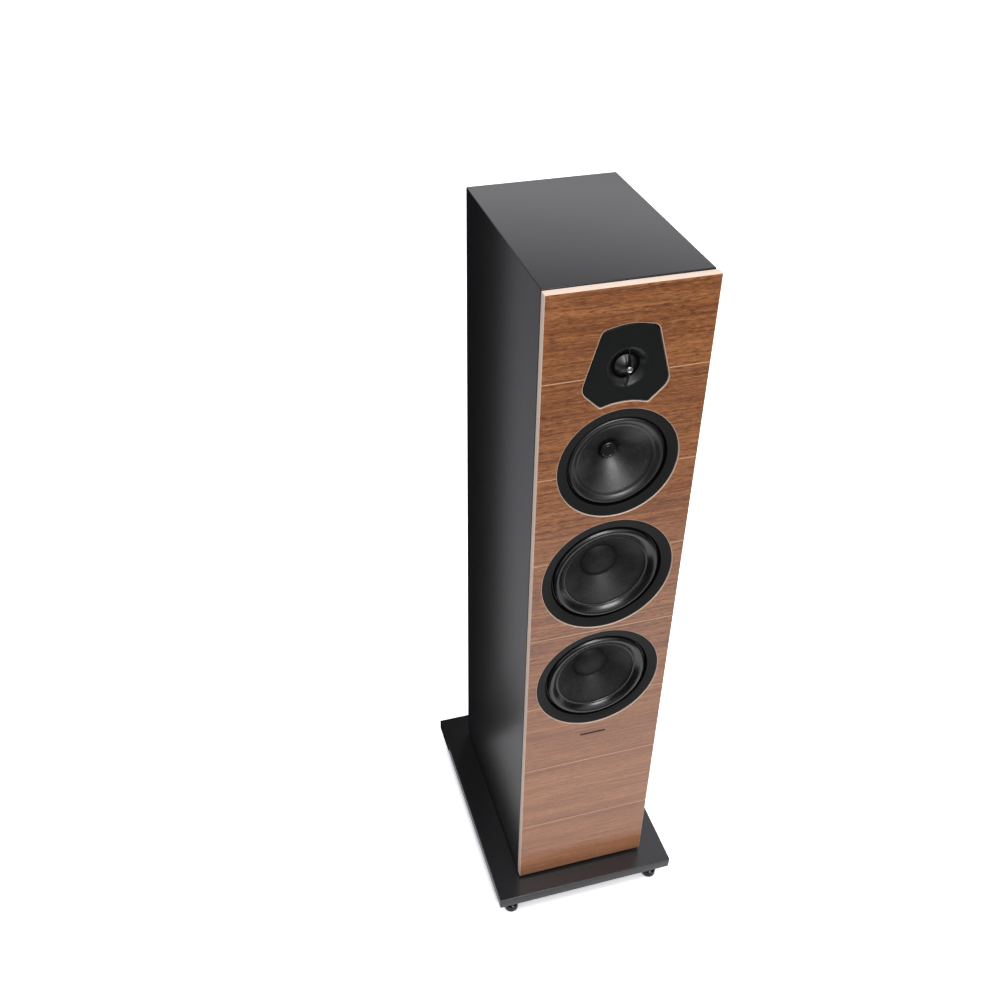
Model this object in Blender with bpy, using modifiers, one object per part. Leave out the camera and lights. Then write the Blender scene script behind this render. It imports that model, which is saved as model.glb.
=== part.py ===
"""Three-way floorstanding speaker: a veneered baffle on a dark cabinet, on a plinth with four levelling feet.

Units are metres and +Z is up. The origin is on the floor under the middle of the plinth. The front faces -Y,
and +X is to the right of someone who looks at the front.
"""

import math

import bmesh
import bpy
from mathutils import Vector

# ---------------------------------------------------------------- driving dimensions
GAP = 0.0003  # clearance between neighbouring pieces

# stand
FOOT_HEIGHT = 0.034
PLINTH_WIDTH = 0.280
PLINTH_DEPTH = 0.378
PLINTH_THICKNESS = 0.018
SPACER_HEIGHT = 0.005
FOOT_INSET_X = 0.024
FOOT_INSET_Y = 0.0195
PAD_RADIUS = 0.0105
PAD_HEIGHT = 0.0140
STUD_REACH = 0.0140  # threaded length inside the plinth with the foot screwed right in
STUD_RADIUS = 0.0040
STUD_CLEARANCE = 0.0006  # between the thread and its bore
NUT_RADIUS = 0.0085
NUT_HEIGHT = 0.0060

# cabinet
CABINET_WIDTH = 0.1975
CABINET_DEPTH = 0.2927
CABINET_HEIGHT = 0.990
BOARD = 0.015
BAFFLE_WIDTH = 0.199
BAFFLE_THICKNESS = 0.011
BAFFLE_SETBACK = 0.0315  # baffle face behind the plinth's front edge
REVEAL = 0.0033  # dark gap between the baffle and the cabinet's front edge
INNER_BAFFLE_THICKNESS = 0.018

# heights above the cabinet's underside
TWEETER_HEIGHT = 0.891
MID_HEIGHT = 0.7625
WOOFER_HEIGHTS = {"woofer_upper": 0.5925, "woofer_lower": 0.4095}
BRACE_HEIGHT = 0.501
PORT_HEIGHT = 0.320
TERMINAL_HEIGHT = 0.108

# inside the cabinet
BRACE_RAIL_X = 0.028  # width of the window brace's side rails
BRACE_RAIL_Y = 0.040
MAT_THICKNESS = 0.016
BOARD_FLOOR_GAP = 0.006  # crossover board above the bottom panel

# reflex port, in a frame whose +Z points out of the back panel
PORT_BORE = 0.0270
PORT_WALL = 0.0030
PORT_LENGTH = 0.1200
PORT_FLANGE_RADIUS = 0.0430
PORT_PROUD = 0.0025
PORT_HOLE_RADIUS = 0.0336

# terminal dish and binding posts, in a frame whose +Z points out of the back panel
DISH_HALF_X, DISH_HALF_Z, DISH_THICKNESS = 0.060, 0.048, 0.003
CUP_HALF_X, CUP_HALF_Z, CUP_DEPTH, CUP_WALL = 0.052, 0.040, 0.028, 0.003
CUP_CLEARANCE = 0.001
TERMINAL_SPACING = 0.038
POST_RADIUS, POST_LENGTH = 0.0030, 0.0245
POST_BASE_RADIUS, POST_BASE_HEIGHT = 0.0075, 0.0030
TERMINAL_BORE = 0.0034
COLLAR_RADIUS, COLLAR_LOW, COLLAR_HIGH = 0.0065, 0.0034, 0.0059
KNOB_RADIUS, KNOB_LOW, KNOB_HIGH, KNOB_CHAMFER = 0.0085, 0.0062, 0.0214, 0.0015

# derived levels and planes
CABINET_BOTTOM = FOOT_HEIGHT + PLINTH_THICKNESS + SPACER_HEIGHT
CABINET_TOP = CABINET_BOTTOM + CABINET_HEIGHT
BAFFLE_FACE_Y = -PLINTH_DEPTH / 2 + BAFFLE_SETBACK
CABINET_FRONT_Y = BAFFLE_FACE_Y + BAFFLE_THICKNESS + REVEAL
CABINET_BACK_Y = CABINET_FRONT_Y + CABINET_DEPTH
INNER_BAFFLE_FRONT_Y = BAFFLE_FACE_Y + BAFFLE_THICKNESS + GAP
INNER_BAFFLE_BACK_Y = INNER_BAFFLE_FRONT_Y + INNER_BAFFLE_THICKNESS
INSIDE_WIDTH = CABINET_WIDTH - 2 * BOARD - 2 * GAP
BACK_PANEL_INNER_Y = CABINET_BACK_Y - BOARD

RING_SEGMENTS = 32  # trim rings and the baffle's round holes
SEGMENTS = 24  # every other turned piece of a driver
SMALL_SEGMENTS = 16

# Each driver is described in its own frame: +Z forward, zero on the baffle's face.
FLANGE_Z = -0.0093  # front of the basket's flange
FLANGE_BACK_Z = -0.0110
SURROUND_Z = -0.0080  # front of the surround's glued edge
SURROUND_THICKNESS = 0.0010

WOOFER = {
    "hole_radius": 0.0866,
    "ring_inner": 0.0732,
    "ring_dish": 0.0030,
    "seat_radius": 0.0750,
    "roll_outer": 0.0700,
    "roll_inner": 0.0565,
    "roll_rise": 0.0050,
    "cap_radius": 0.0245,
    "cap_rise": 0.0070,
    "neck_z": -0.0360,
    "coil_radius": 0.0190,
    "coil_end_z": -0.0720,
    "spider_z": -0.0480,
    "spider_radius": 0.0470,
    "rear_z": -0.0580,
    "top_plate": 0.0080,
    "magnet_radius": 0.0450,
    "magnet_length": 0.0155,
    "yoke_plate": 0.0060,
}
MID = {
    "hole_radius": 0.0752,
    "ring_inner": 0.0625,
    "ring_dish": 0.0025,
    "seat_radius": 0.0635,
    "roll_outer": 0.0597,
    "roll_inner": 0.0497,
    "roll_rise": 0.0026,
    "plug_radius": 0.0108,
    "plug_face_z": -0.0295,
    "neck_z": -0.0340,
    "coil_radius": 0.0116,
    "coil_end_z": -0.0600,
    "spider_z": -0.0420,
    "spider_radius": 0.0360,
    "rear_z": -0.0500,
    "top_plate": 0.0060,
    "magnet_radius": 0.0340,
    "magnet_length": 0.0130,
    "yoke_plate": 0.0050,
}
COIL_WALL = 0.0008
CONE_WALL = 0.0012
CAP_WALL = 0.0008
SPIDER_WALL = 0.0006
SPIDER_WAVE = 0.0012
POLE_CLEARANCE = 0.0006  # between the pole and the inside of the coil
MAGNET_CLEARANCE = 0.0070  # between the inside of the coil and the ferrite ring
RIM_Z = -0.0010  # outer edge of a trim ring

# tweeter
SCOOP_RADIUS = 0.0860
PLATE_FOOT_X = 0.0280
PLATE_HIP = (0.0520, -0.0245)
PLATE_SHOULDER = (0.0312, 0.0478)
PLATE_CROWN = 0.0528
HIP_RADIUS, SHOULDER_RADIUS = 0.0170, 0.0105
PLATE_BACK_Z = -0.0080
BOWL_RADIUS = 0.0250
THROAT_RADIUS = 0.0160
THROAT_Z = -0.0075
DOME_RADIUS, DOME_RISE, DOME_WALL, DOME_BASE_Z = 0.0128, 0.0060, 0.0006, -0.0068
DOME_RIM_RADIUS = 0.0157
FORMER_RADIUS, FORMER_END_Z = 0.0134, -0.0150
MOTOR_RADIUS, MOTOR_BACK_Z = 0.0310, -0.0480
BUTTON_RADIUS = 0.0036

# finish: (red, green, blue), roughness, metallic
FINISHES = {
    "walnut_veneer": ((0.32, 0.15, 0.07), 0.35, 0.0),
    "cabinet_black": ((0.035, 0.035, 0.037), 0.45, 0.0),
    "board": ((0.42, 0.31, 0.20), 0.80, 0.0),
    "plinth_black": ((0.045, 0.045, 0.048), 0.50, 0.0),
    "trim_black": ((0.018, 0.019, 0.020), 0.40, 0.0),
    "rubber_black": ((0.012, 0.012, 0.013), 0.55, 0.0),
    "cone_paper": ((0.030, 0.030, 0.032), 0.70, 0.0),
    "dome_fabric": ((0.060, 0.062, 0.066), 0.50, 0.0),
    "spider_fabric": ((0.45, 0.28, 0.10), 0.85, 0.0),
    "coil_copper": ((0.72, 0.33, 0.16), 0.35, 1.0),
    "basket_metal": ((0.10, 0.10, 0.105), 0.50, 0.6),
    "ferrite": ((0.05, 0.05, 0.055), 0.65, 0.2),
    "steel": ((0.50, 0.50, 0.52), 0.35, 1.0),
    "gold_plate": ((0.83, 0.60, 0.24), 0.25, 1.0),
    "gloss_black": ((0.010, 0.010, 0.011), 0.12, 0.0),
    "foot_black": ((0.012, 0.012, 0.013), 0.10, 0.0),
    "knob_red": ((0.45, 0.015, 0.012), 0.30, 0.0),
    "foam_grey": ((0.22, 0.22, 0.23), 0.95, 0.0),
    "circuit_board": ((0.05, 0.16, 0.07), 0.50, 0.0),
    "film_capacitor": ((0.70, 0.52, 0.10), 0.40, 0.0),
}

PARTS = "floorstanding_speaker"
CUTTERS = "cutters"


# ---------------------------------------------------------------- scene and object helpers
def clear_scene():
    for obj in list(bpy.data.objects):
        bpy.data.objects.remove(obj)
    for name in (PARTS, CUTTERS):
        collection = bpy.data.collections.new(name)
        bpy.context.scene.collection.children.link(collection)


def finish(name):
    """The material of that name, made on first use."""
    found = bpy.data.materials.get(name)
    if found:
        return found
    colour, roughness, metallic = FINISHES[name]
    material = bpy.data.materials.new(name)
    material.use_nodes = True
    shader = material.node_tree.nodes["Principled BSDF"]
    shader.inputs["Base Color"].default_value = (*colour, 1.0)
    shader.inputs["Roughness"].default_value = roughness
    shader.inputs["Metallic"].default_value = metallic
    material.diffuse_color = (*colour, 1.0)
    return material


def add_object(name, mesh, material, parent=None, location=(0, 0, 0)):
    obj = bpy.data.objects.new(name, mesh)
    bpy.data.collections[PARTS].objects.link(obj)
    obj.location = location
    obj.parent = parent
    mesh.materials.append(finish(material))
    return obj


def add_axis(name, location, turn_x):
    """An empty whose +Z is a joint's axis or a driver's forward direction."""
    empty = bpy.data.objects.new(name, None)
    empty.empty_display_size = 0.02
    empty.location = location
    empty.rotation_euler = (turn_x, 0, 0)
    bpy.data.collections[PARTS].objects.link(empty)
    return empty


def box_mesh(name, low, high):
    mesh = bpy.data.meshes.new(name)
    bm = bmesh.new()
    bmesh.ops.create_cube(bm, size=1.0)
    size = Vector(high) - Vector(low)
    bmesh.ops.scale(bm, vec=size, verts=bm.verts)
    bmesh.ops.translate(bm, vec=(Vector(high) + Vector(low)) / 2, verts=bm.verts)
    bm.to_mesh(mesh)
    bm.free()
    return mesh


def box(name, low, high, material, bevel=0.0, parent=None):
    """A board or block between two corners, with its long edges broken by a bevel."""
    obj = add_object(name, box_mesh(name, low, high), material, parent)
    if bevel:
        edge = obj.modifiers.new("broken_edges", "BEVEL")
        edge.width = bevel
        edge.segments = 1
        edge.limit_method = "ANGLE"
    return obj


def profile_mesh(name, points, closed):
    mesh = bpy.data.meshes.new(name)
    edges = [(i, i + 1) for i in range(len(points) - 1)]
    if closed:
        edges.append((len(points) - 1, 0))
    mesh.from_pydata([(radius, 0, height) for radius, height in points], edges, [])
    return mesh


def spin(obj, segments):
    turn = obj.modifiers.new("turned", "SCREW")
    turn.axis = "Z"
    turn.steps = segments
    turn.render_steps = segments
    turn.use_merge_vertices = True
    turn.merge_threshold = 0.00001
    turn.use_smooth_shade = True


def turned(name, points, material, parent, segments=SEGMENTS, closed=True):
    """A solid of revolution about the parent's +Z.

    The points are (radius, height) and run outwards over the top, then down the outer side. A closed profile
    makes a ring, and an open one starts and ends on the axis.
    """
    obj = add_object(name, profile_mesh(name, points, closed), material, parent)
    spin(obj, segments)
    return obj


def as_cutter(obj):
    for collection in obj.users_collection:
        collection.objects.unlink(obj)
    bpy.data.collections[CUTTERS].objects.link(obj)
    obj.hide_render = True
    obj.display_type = "WIRE"
    return obj


def combine(obj, other, operation):
    step = obj.modifiers.new(other.name, "BOOLEAN")
    step.operation = operation
    step.object = as_cutter(other)
    step.solver = "EXACT"


def cut(obj, other):
    combine(obj, other, "DIFFERENCE")


def join(obj, other):
    combine(obj, other, "UNION")


def rod(name, radius, bottom, top, parent, segments=SEGMENTS):
    """A plain cylinder along the parent's +Z, for cutting or joining."""
    mesh = bpy.data.meshes.new(name)
    bm = bmesh.new()
    bmesh.ops.create_cone(
        bm, cap_ends=True, segments=segments, radius1=radius, radius2=radius, depth=top - bottom
    )
    bmesh.ops.translate(bm, vec=(0, 0, (top + bottom) / 2), verts=bm.verts)
    bm.to_mesh(mesh)
    bm.free()
    return add_object(name, mesh, "board", parent)


def slab(name, outline, bottom, top, material, parent):
    """A flat outline in the parent's XY plane, given thickness along its Z."""
    curve = bpy.data.curves.new(name, "CURVE")
    curve.dimensions = "2D"
    curve.fill_mode = "BOTH"
    curve.extrude = (top - bottom) / 2
    spline = curve.splines.new("POLY")
    spline.points.add(len(outline) - 1)
    for point, (x, y) in zip(spline.points, outline):
        point.co = (x, y, 0, 1)
    spline.use_cyclic_u = True
    guide = bpy.data.objects.new(name + "_outline", curve)
    bpy.context.scene.collection.objects.link(guide)
    bpy.context.view_layer.update()
    mesh = bpy.data.meshes.new_from_object(guide.evaluated_get(bpy.context.evaluated_depsgraph_get()))
    bpy.data.objects.remove(guide)
    bm = bmesh.new()
    bm.from_mesh(mesh)
    bmesh.ops.remove_doubles(bm, verts=bm.verts, dist=0.00001)
    bmesh.ops.translate(bm, vec=(0, 0, (top + bottom) / 2), verts=bm.verts)
    bmesh.ops.recalc_face_normals(bm, faces=bm.faces)
    bm.to_mesh(mesh)
    bm.free()
    mesh.materials.clear()
    return add_object(name, mesh, material, parent)


# ---------------------------------------------------------------- outlines
def arc(centre, radius, start, end, steps):
    """Points on an arc, in degrees anticlockwise from +X, both ends included."""
    angles = [math.radians(start + (end - start) * i / steps) for i in range(steps + 1)]
    return [(centre[0] + radius * math.cos(a), centre[1] + radius * math.sin(a)) for a in angles]


def rounded_corner(before, corner, after, radius, steps):
    """The arc that replaces a corner, tangent to both of its sides."""
    corner = Vector(corner)
    to_before = (Vector(before) - corner).normalized()
    to_after = (Vector(after) - corner).normalized()
    half = to_before.angle(to_after) / 2
    centre = corner + (to_before + to_after).normalized() * radius / math.sin(half)
    first = corner + to_before * radius / math.tan(half) - centre
    last = corner + to_after * radius / math.tan(half) - centre
    start = math.atan2(first.y, first.x)
    turn = (math.atan2(last.y, last.x) - start + math.pi) % (2 * math.pi) - math.pi
    return arc(centre, radius, math.degrees(start), math.degrees(start + turn), steps)


def tweeter_outline(grow=0.0):
    """The shield-shaped plate, about the tweeter's axis: narrow on top, widest low down, and scooped out below,
    concentric with the driver beneath it. Grow moves the outline outwards by that much."""
    scoop_centre = (0.0, MID_HEIGHT - TWEETER_HEIGHT)
    scoop_radius = SCOOP_RADIUS - grow
    foot_x = PLATE_FOOT_X + 0.6 * grow
    foot_angle = math.degrees(math.acos(foot_x / scoop_radius))
    scoop = arc(scoop_centre, scoop_radius, foot_angle, 180 - foot_angle, 8)
    foot_y = scoop[0][1]
    hip = (PLATE_HIP[0] + 1.15 * grow, PLATE_HIP[1] - 0.25 * grow)
    shoulder = (PLATE_SHOULDER[0] + 1.1 * grow, PLATE_SHOULDER[1] + grow)
    crown = PLATE_CROWN + grow
    right = rounded_corner((foot_x, foot_y), hip, shoulder, HIP_RADIUS, 5)
    right += rounded_corner(hip, shoulder, (0.0, crown), SHOULDER_RADIUS, 4)
    left = [(-x, y) for x, y in reversed(right)]
    edge_x, edge_y = right[-1]
    bow = [(edge_x * share, crown + (edge_y - crown) * abs(share) ** 1.7) for share in (0.5, 0.0, -0.5)]
    return right + bow + left + list(reversed(scoop))


# ---------------------------------------------------------------- cabinet
def build_cabinet():
    half = CABINET_WIDTH / 2
    wrap = box(
        "cabinet_wrap",
        (-half, CABINET_FRONT_Y, CABINET_BOTTOM),
        (half, CABINET_BACK_Y, CABINET_TOP),
        "cabinet_black",
        bevel=0.0015,
    )
    hollow = box(
        "wrap_hollow",
        (-half + BOARD, CABINET_FRONT_Y - BOARD, CABINET_BOTTOM - BOARD),
        (half - BOARD, CABINET_BACK_Y + BOARD, CABINET_TOP - BOARD),
        "board",
    )
    cut(wrap, hollow)

    inside = INSIDE_WIDTH / 2
    back = box(
        "back_panel",
        (-inside, BACK_PANEL_INNER_Y, CABINET_BOTTOM),
        (inside, CABINET_BACK_Y, CABINET_TOP - BOARD - GAP),
        "cabinet_black",
    )
    port_axis = add_axis("port_axis", (0, CABINET_BACK_Y, CABINET_BOTTOM + PORT_HEIGHT), -math.pi / 2)
    cut(back, rod("port_hole", PORT_HOLE_RADIUS, -2 * BOARD, BOARD, port_axis))
    terminal_z = CABINET_BOTTOM + TERMINAL_HEIGHT
    hole_x, hole_z = CUP_HALF_X + CUP_CLEARANCE, CUP_HALF_Z + CUP_CLEARANCE
    pocket = box(
        "terminal_hole",
        (-hole_x, BACK_PANEL_INNER_Y - BOARD, terminal_z - hole_z),
        (hole_x, CABINET_BACK_Y + BOARD, terminal_z + hole_z),
        "board",
    )
    cut(back, pocket)

    box(
        "bottom_panel",
        (-inside, INNER_BAFFLE_BACK_Y + GAP, CABINET_BOTTOM),
        (inside, BACK_PANEL_INNER_Y - GAP, CABINET_BOTTOM + BOARD),
        "board",
    )
    brace_z = CABINET_BOTTOM + BRACE_HEIGHT
    brace = box(
        "window_brace",
        (-inside, INNER_BAFFLE_BACK_Y + GAP, brace_z - BOARD / 2),
        (inside, BACK_PANEL_INNER_Y - GAP, brace_z + BOARD / 2),
        "board",
    )
    window = box(
        "brace_window",
        (-inside + BRACE_RAIL_X, INNER_BAFFLE_BACK_Y + BRACE_RAIL_Y, brace_z - BOARD),
        (inside - BRACE_RAIL_X, BACK_PANEL_INNER_Y - BRACE_RAIL_Y, brace_z + BOARD),
        "board",
    )
    cut(brace, window)
    box(
        "damping_mat",
        (-inside + 0.005, BACK_PANEL_INNER_Y - MAT_THICKNESS, brace_z + 2 * BOARD),
        (inside - 0.005, BACK_PANEL_INNER_Y - GAP, CABINET_TOP - 2 * BOARD),
        "foam_grey",
        bevel=0.003,
    )
    return port_axis


def build_port(axis):
    """The rear reflex port: a flange on the panel, a flared mouth and a straight tube."""
    outer = PORT_BORE + PORT_WALL
    turned(
        "port_tube",
        [
            (PORT_FLANGE_RADIUS - 0.0060, PORT_PROUD),
            (PORT_FLANGE_RADIUS - 0.0030, PORT_PROUD),
            (PORT_FLANGE_RADIUS, PORT_PROUD / 2),
            (PORT_FLANGE_RADIUS, GAP),
            (PORT_HOLE_RADIUS - 0.0004, GAP),
            (outer, -BOARD - 0.0010),
            (outer, -PORT_LENGTH),
            (PORT_BORE, -PORT_LENGTH),
            (PORT_BORE, -0.0150),
            (PORT_BORE + 0.0025, -0.0060),
        ],
        "trim_black",
        axis,
    )


def build_baffles(axes):
    """The veneered front board and the structural board behind it, with every driver's opening."""
    half = BAFFLE_WIDTH / 2
    front = box(
        "front_baffle",
        (-half, BAFFLE_FACE_Y, CABINET_BOTTOM),
        (half, BAFFLE_FACE_Y + BAFFLE_THICKNESS, CABINET_TOP),
        "walnut_veneer",
    )
    inside = INSIDE_WIDTH / 2
    inner = box(
        "inner_baffle",
        (-inside, INNER_BAFFLE_FRONT_Y, CABINET_BOTTOM),
        (inside, INNER_BAFFLE_BACK_Y, CABINET_TOP - BOARD - GAP),
        "board",
    )
    for name, axis in axes.items():
        if name == "tweeter":
            cut(front, slab("tweeter_opening", tweeter_outline(0.0004), -0.03, 0.02, "board", axis))
            cut(inner, rod("tweeter_hole", MOTOR_RADIUS + 0.0010, -0.05, 0.02, axis))
            continue
        driver = MID if name == "mid" else WOOFER
        opening = rod(name + "_opening", driver["hole_radius"], -0.03, 0.02, axis, RING_SEGMENTS)
        cut(front, opening)
        cut(inner, rod(name + "_hole", driver["seat_radius"] + 0.0010, -0.05, 0.02, axis))


# ---------------------------------------------------------------- cone drivers
def cone_height(driver, radius):
    """Height of the cone's front face at a radius: a shallow flare from the neck to the lip."""
    neck = driver["coil_radius"] + COIL_WALL
    lip = driver["roll_inner"]
    share = (radius - neck) / (lip - neck)
    return driver["neck_z"] + (FLANGE_Z - driver["neck_z"]) * share**0.85


def build_trim_ring(name, driver, axis):
    outer = driver["hole_radius"] - 0.0004
    inner = driver["ring_inner"]
    back_z = SURROUND_Z + GAP
    profile = [(inner, RIM_Z - driver["ring_dish"]), (outer, RIM_Z), (outer, back_z), (inner, back_z)]
    turned(name + "_trim_ring", profile, "trim_black", axis, RING_SEGMENTS)


def build_surround(name, driver, axis):
    outer, inner, rise = driver["roll_outer"], driver["roll_inner"], driver["roll_rise"]
    middle, half = (outer + inner) / 2, (outer - inner) / 2
    roll = [(middle - half * math.cos(a), rise * math.sin(a)) for a in [math.pi * i / 3 for i in range(4)]]
    upper = [(radius, SURROUND_Z + height) for radius, height in roll]
    lower = [(radius, height - SURROUND_THICKNESS) for radius, height in reversed(upper)]
    glued_inner, glued_outer = inner - 0.003, outer + 0.006
    back_z = SURROUND_Z - SURROUND_THICKNESS
    profile = [(glued_inner, SURROUND_Z), *upper, (glued_outer, SURROUND_Z)]
    profile += [(glued_outer, back_z), *lower, (glued_inner, back_z)]
    turned(name + "_surround", profile, "rubber_black", axis)


def build_cone(name, driver, axis):
    neck = driver["coil_radius"] + COIL_WALL + GAP
    lip = driver["roll_inner"] + 0.0002
    radii = [neck + (lip - neck) * share for share in (0.0, 0.3, 0.65, 0.93)]
    front = [(radius, cone_height(driver, radius) - GAP) for radius in radii] + [(lip, FLANGE_Z)]
    back = [(radius, height - CONE_WALL) for radius, height in reversed(front)]
    turned(name + "_cone", front + back, "cone_paper", axis)


def build_dust_cap(name, driver, axis):
    radius, rise = driver["cap_radius"], driver["cap_rise"]
    base = cone_height(driver, radius) + GAP
    shares = (0.0, 0.35, 0.7, 1.0)
    front = [(radius * s, base + rise * (1 - s * s)) for s in shares]
    back = [(radius * s * 0.96, base + (rise - CAP_WALL) * (1 - s * s)) for s in reversed(shares)]
    turned(name + "_dust_cap", front + back, "cone_paper", axis, closed=False)


def build_spider(name, driver, axis):
    """The corrugated centring disc between the coil and the basket's ledge."""
    inner = driver["coil_radius"] + COIL_WALL + GAP
    outer = driver["spider_radius"]
    lifts = (0.0, SPIDER_WAVE, 0.0, 0.0)
    upper = []
    for i, lift in enumerate(lifts):
        upper.append((inner + (outer - inner) * i / (len(lifts) - 1), driver["spider_z"] + lift))
    lower = [(radius, height - SPIDER_WALL) for radius, height in reversed(upper)]
    turned(name + "_spider", upper + lower, "spider_fabric", axis)


def build_voice_coil(name, driver, axis):
    inner = driver["coil_radius"]
    outer = inner + COIL_WALL
    top, bottom = driver["neck_z"], driver["coil_end_z"]
    profile = [(inner, top), (outer, top), (outer, bottom), (inner, bottom)]
    turned(name + "_voice_coil", profile, "coil_copper", axis)


def build_basket(name, driver, axis):
    """Cast frame: flange, conical sides with six windows, a ledge for the spider, and the top plate's seat."""
    mouth = driver["roll_outer"] + 0.0005
    flange = driver["hole_radius"] - 0.0026
    bore = driver["coil_radius"] + COIL_WALL + 0.0008
    rear_z = driver["rear_z"]
    back_z = rear_z - driver["top_plate"]
    ledge_z = driver["spider_z"] - 0.0009
    ledge_outer = driver["spider_radius"] + 0.0010
    ledge_inner = driver["spider_radius"] - 0.0040
    rear_radius = driver["spider_radius"] + 0.0045
    profile = [
        (mouth, FLANGE_Z),
        (flange, FLANGE_Z),
        (flange, FLANGE_BACK_Z),
        (driver["seat_radius"], FLANGE_BACK_Z),
        (rear_radius, ledge_z),
        (rear_radius, back_z),
        (bore, back_z),
        (bore, rear_z),
        (ledge_inner, rear_z),
        (ledge_inner, ledge_z),
        (ledge_outer, ledge_z),
    ]
    basket = turned(name + "_basket", profile, "basket_metal", axis)
    window_half = driver["spider_radius"] * 0.36
    for i in range(3):
        reach = driver["hole_radius"]
        low = (-reach, -window_half, ledge_z + 0.004)
        high = (reach, window_half, FLANGE_BACK_Z - 0.008)
        window = add_object(f"{name}_window_{i}", box_mesh("window", low, high), "board", axis)
        window.rotation_euler = (0, 0, math.radians(15 + 60 * i))
        cut(basket, window)


def build_motor(name, driver, axis):
    """Ferrite ring, and the yoke behind it with its centre pole."""
    magnet_front = driver["rear_z"] - driver["top_plate"] - GAP
    magnet_back = magnet_front - driver["magnet_length"]
    hole = driver["coil_radius"] + MAGNET_CLEARANCE
    outer = driver["magnet_radius"]
    ring = [(hole, magnet_front), (outer, magnet_front), (outer, magnet_back), (hole, magnet_back)]
    turned(name + "_magnet", ring, "ferrite", axis)

    pole = driver["coil_radius"] - POLE_CLEARANCE
    plate_front = magnet_back - GAP
    plate_back = plate_front - driver["yoke_plate"]
    plate = outer - 0.0030
    profile = [
        (0.0, driver["rear_z"]),
        (pole, driver["rear_z"]),
        (pole, plate_front),
        (plate, plate_front),
        (plate, plate_back),
        (0.0, plate_back),
    ]
    turned(name + "_yoke", profile, "steel", axis, closed=False)


def build_phase_plug(name, driver, axis):
    """The fixed bullet that stands on the pole, inside the moving coil."""
    radius, face = driver["plug_radius"], driver["plug_face_z"]
    profile = [
        (0.0, face),
        (radius * 0.75, face - 0.0004),
        (radius, face - 0.0022),
        (radius, driver["rear_z"] + GAP),
        (0.0, driver["rear_z"] + GAP),
    ]
    turned(name + "_phase_plug", profile, "gloss_black", axis, closed=False)


def build_cone_driver(name, driver, axis):
    build_trim_ring(name, driver, axis)
    build_basket(name, driver, axis)
    build_surround(name, driver, axis)
    build_cone(name, driver, axis)
    build_spider(name, driver, axis)
    build_voice_coil(name, driver, axis)
    build_motor(name, driver, axis)
    if "cap_radius" in driver:
        build_dust_cap(name, driver, axis)
    else:
        build_phase_plug(name, driver, axis)


def build_mid_chamber(axis):
    """The cup that closes the mid driver's back off from the woofers."""
    front = BAFFLE_FACE_Y - INNER_BAFFLE_BACK_Y - GAP
    back, outer, wall = -0.130, 0.0700, 0.0040
    inner, floor = outer - wall, back + wall
    profile = [(0.0, floor), (inner, floor), (inner, front), (outer, front), (outer, back), (0.0, back)]
    turned("mid_chamber", profile, "board", axis, closed=False)


# ---------------------------------------------------------------- tweeter
def build_tweeter(axis):
    face = -GAP
    plate = slab("tweeter_faceplate", tweeter_outline(), PLATE_BACK_Z, face, "trim_black", axis)
    bowl = [
        (0.0, 0.004),
        (BOWL_RADIUS + 0.004, 0.004),
        (BOWL_RADIUS, face),
        (0.0190, -0.0045),
        (THROAT_RADIUS, THROAT_Z),
        (THROAT_RADIUS, -0.02),
        (0.0, -0.02),
    ]
    cut(plate, turned("waveguide_bowl", bowl, "board", axis, closed=False))

    def skin(radius, base, share):
        """A point on a domed face, where share runs from 0 on the axis to 1 at the radius."""
        return radius * share, base + DOME_RISE * (1 - share * share)

    rim_z = DOME_BASE_Z - 0.0002
    rim_back_z = rim_z - 0.0006
    dome = [skin(DOME_RADIUS, DOME_BASE_Z, share) for share in (0.0, 0.4, 0.75, 1.0)]
    dome += [(DOME_RIM_RADIUS, rim_z), (DOME_RIM_RADIUS, rim_back_z), (FORMER_RADIUS, rim_back_z)]
    dome += [(FORMER_RADIUS, FORMER_END_Z), (FORMER_RADIUS - 0.0006, FORMER_END_Z)]
    dome += [(FORMER_RADIUS - 0.0008, PLATE_BACK_Z)]
    dome += [skin(DOME_RADIUS - 0.0004, DOME_BASE_Z - DOME_WALL, share) for share in (0.75, 0.4, 0.0)]
    turned("tweeter_dome", dome, "dome_fabric", axis, closed=False)

    pole, gap_end = FORMER_RADIUS - 0.0014, FORMER_END_Z - 0.0030
    front = PLATE_BACK_Z - GAP
    turned(
        "tweeter_motor",
        [
            (0.0, -0.0095),
            (pole, -0.0095),
            (pole, gap_end),
            (FORMER_RADIUS + 0.0008, gap_end),
            (FORMER_RADIUS + 0.0008, front),
            (MOTOR_RADIUS, front),
            (MOTOR_RADIUS, MOTOR_BACK_Z + 0.0030),
            (MOTOR_RADIUS - 0.0040, MOTOR_BACK_Z),
            (0.0, MOTOR_BACK_Z),
        ],
        "ferrite",
        axis,
        closed=False,
    )
    build_bridge(axis)


def build_bridge(axis):
    """The slim bar that arches over the dome, with its round centre button."""
    reach, rise, depth = 0.0245, 0.0050, 0.0024
    steps = 8
    outer = [(reach * (1 - 2 * i / steps), rise * math.sin(math.pi * i / steps)) for i in range(steps + 1)]
    inner_reach = reach - 0.0030
    inner = [
        (-inner_reach * (1 - 2 * i / steps), (rise - depth) * math.sin(math.pi * i / steps))
        for i in range(steps + 1)
    ]
    bar = slab("tweeter_bridge", outer + inner, -0.0014, 0.0014, "gloss_black", axis)
    # the slab's XY plane becomes the plane of height and depth
    bar.rotation_euler = (math.pi / 2, 0, math.pi / 2)
    join(bar, rod("bridge_button", BUTTON_RADIUS, 0.0030, 0.0064, axis, SMALL_SEGMENTS))


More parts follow.
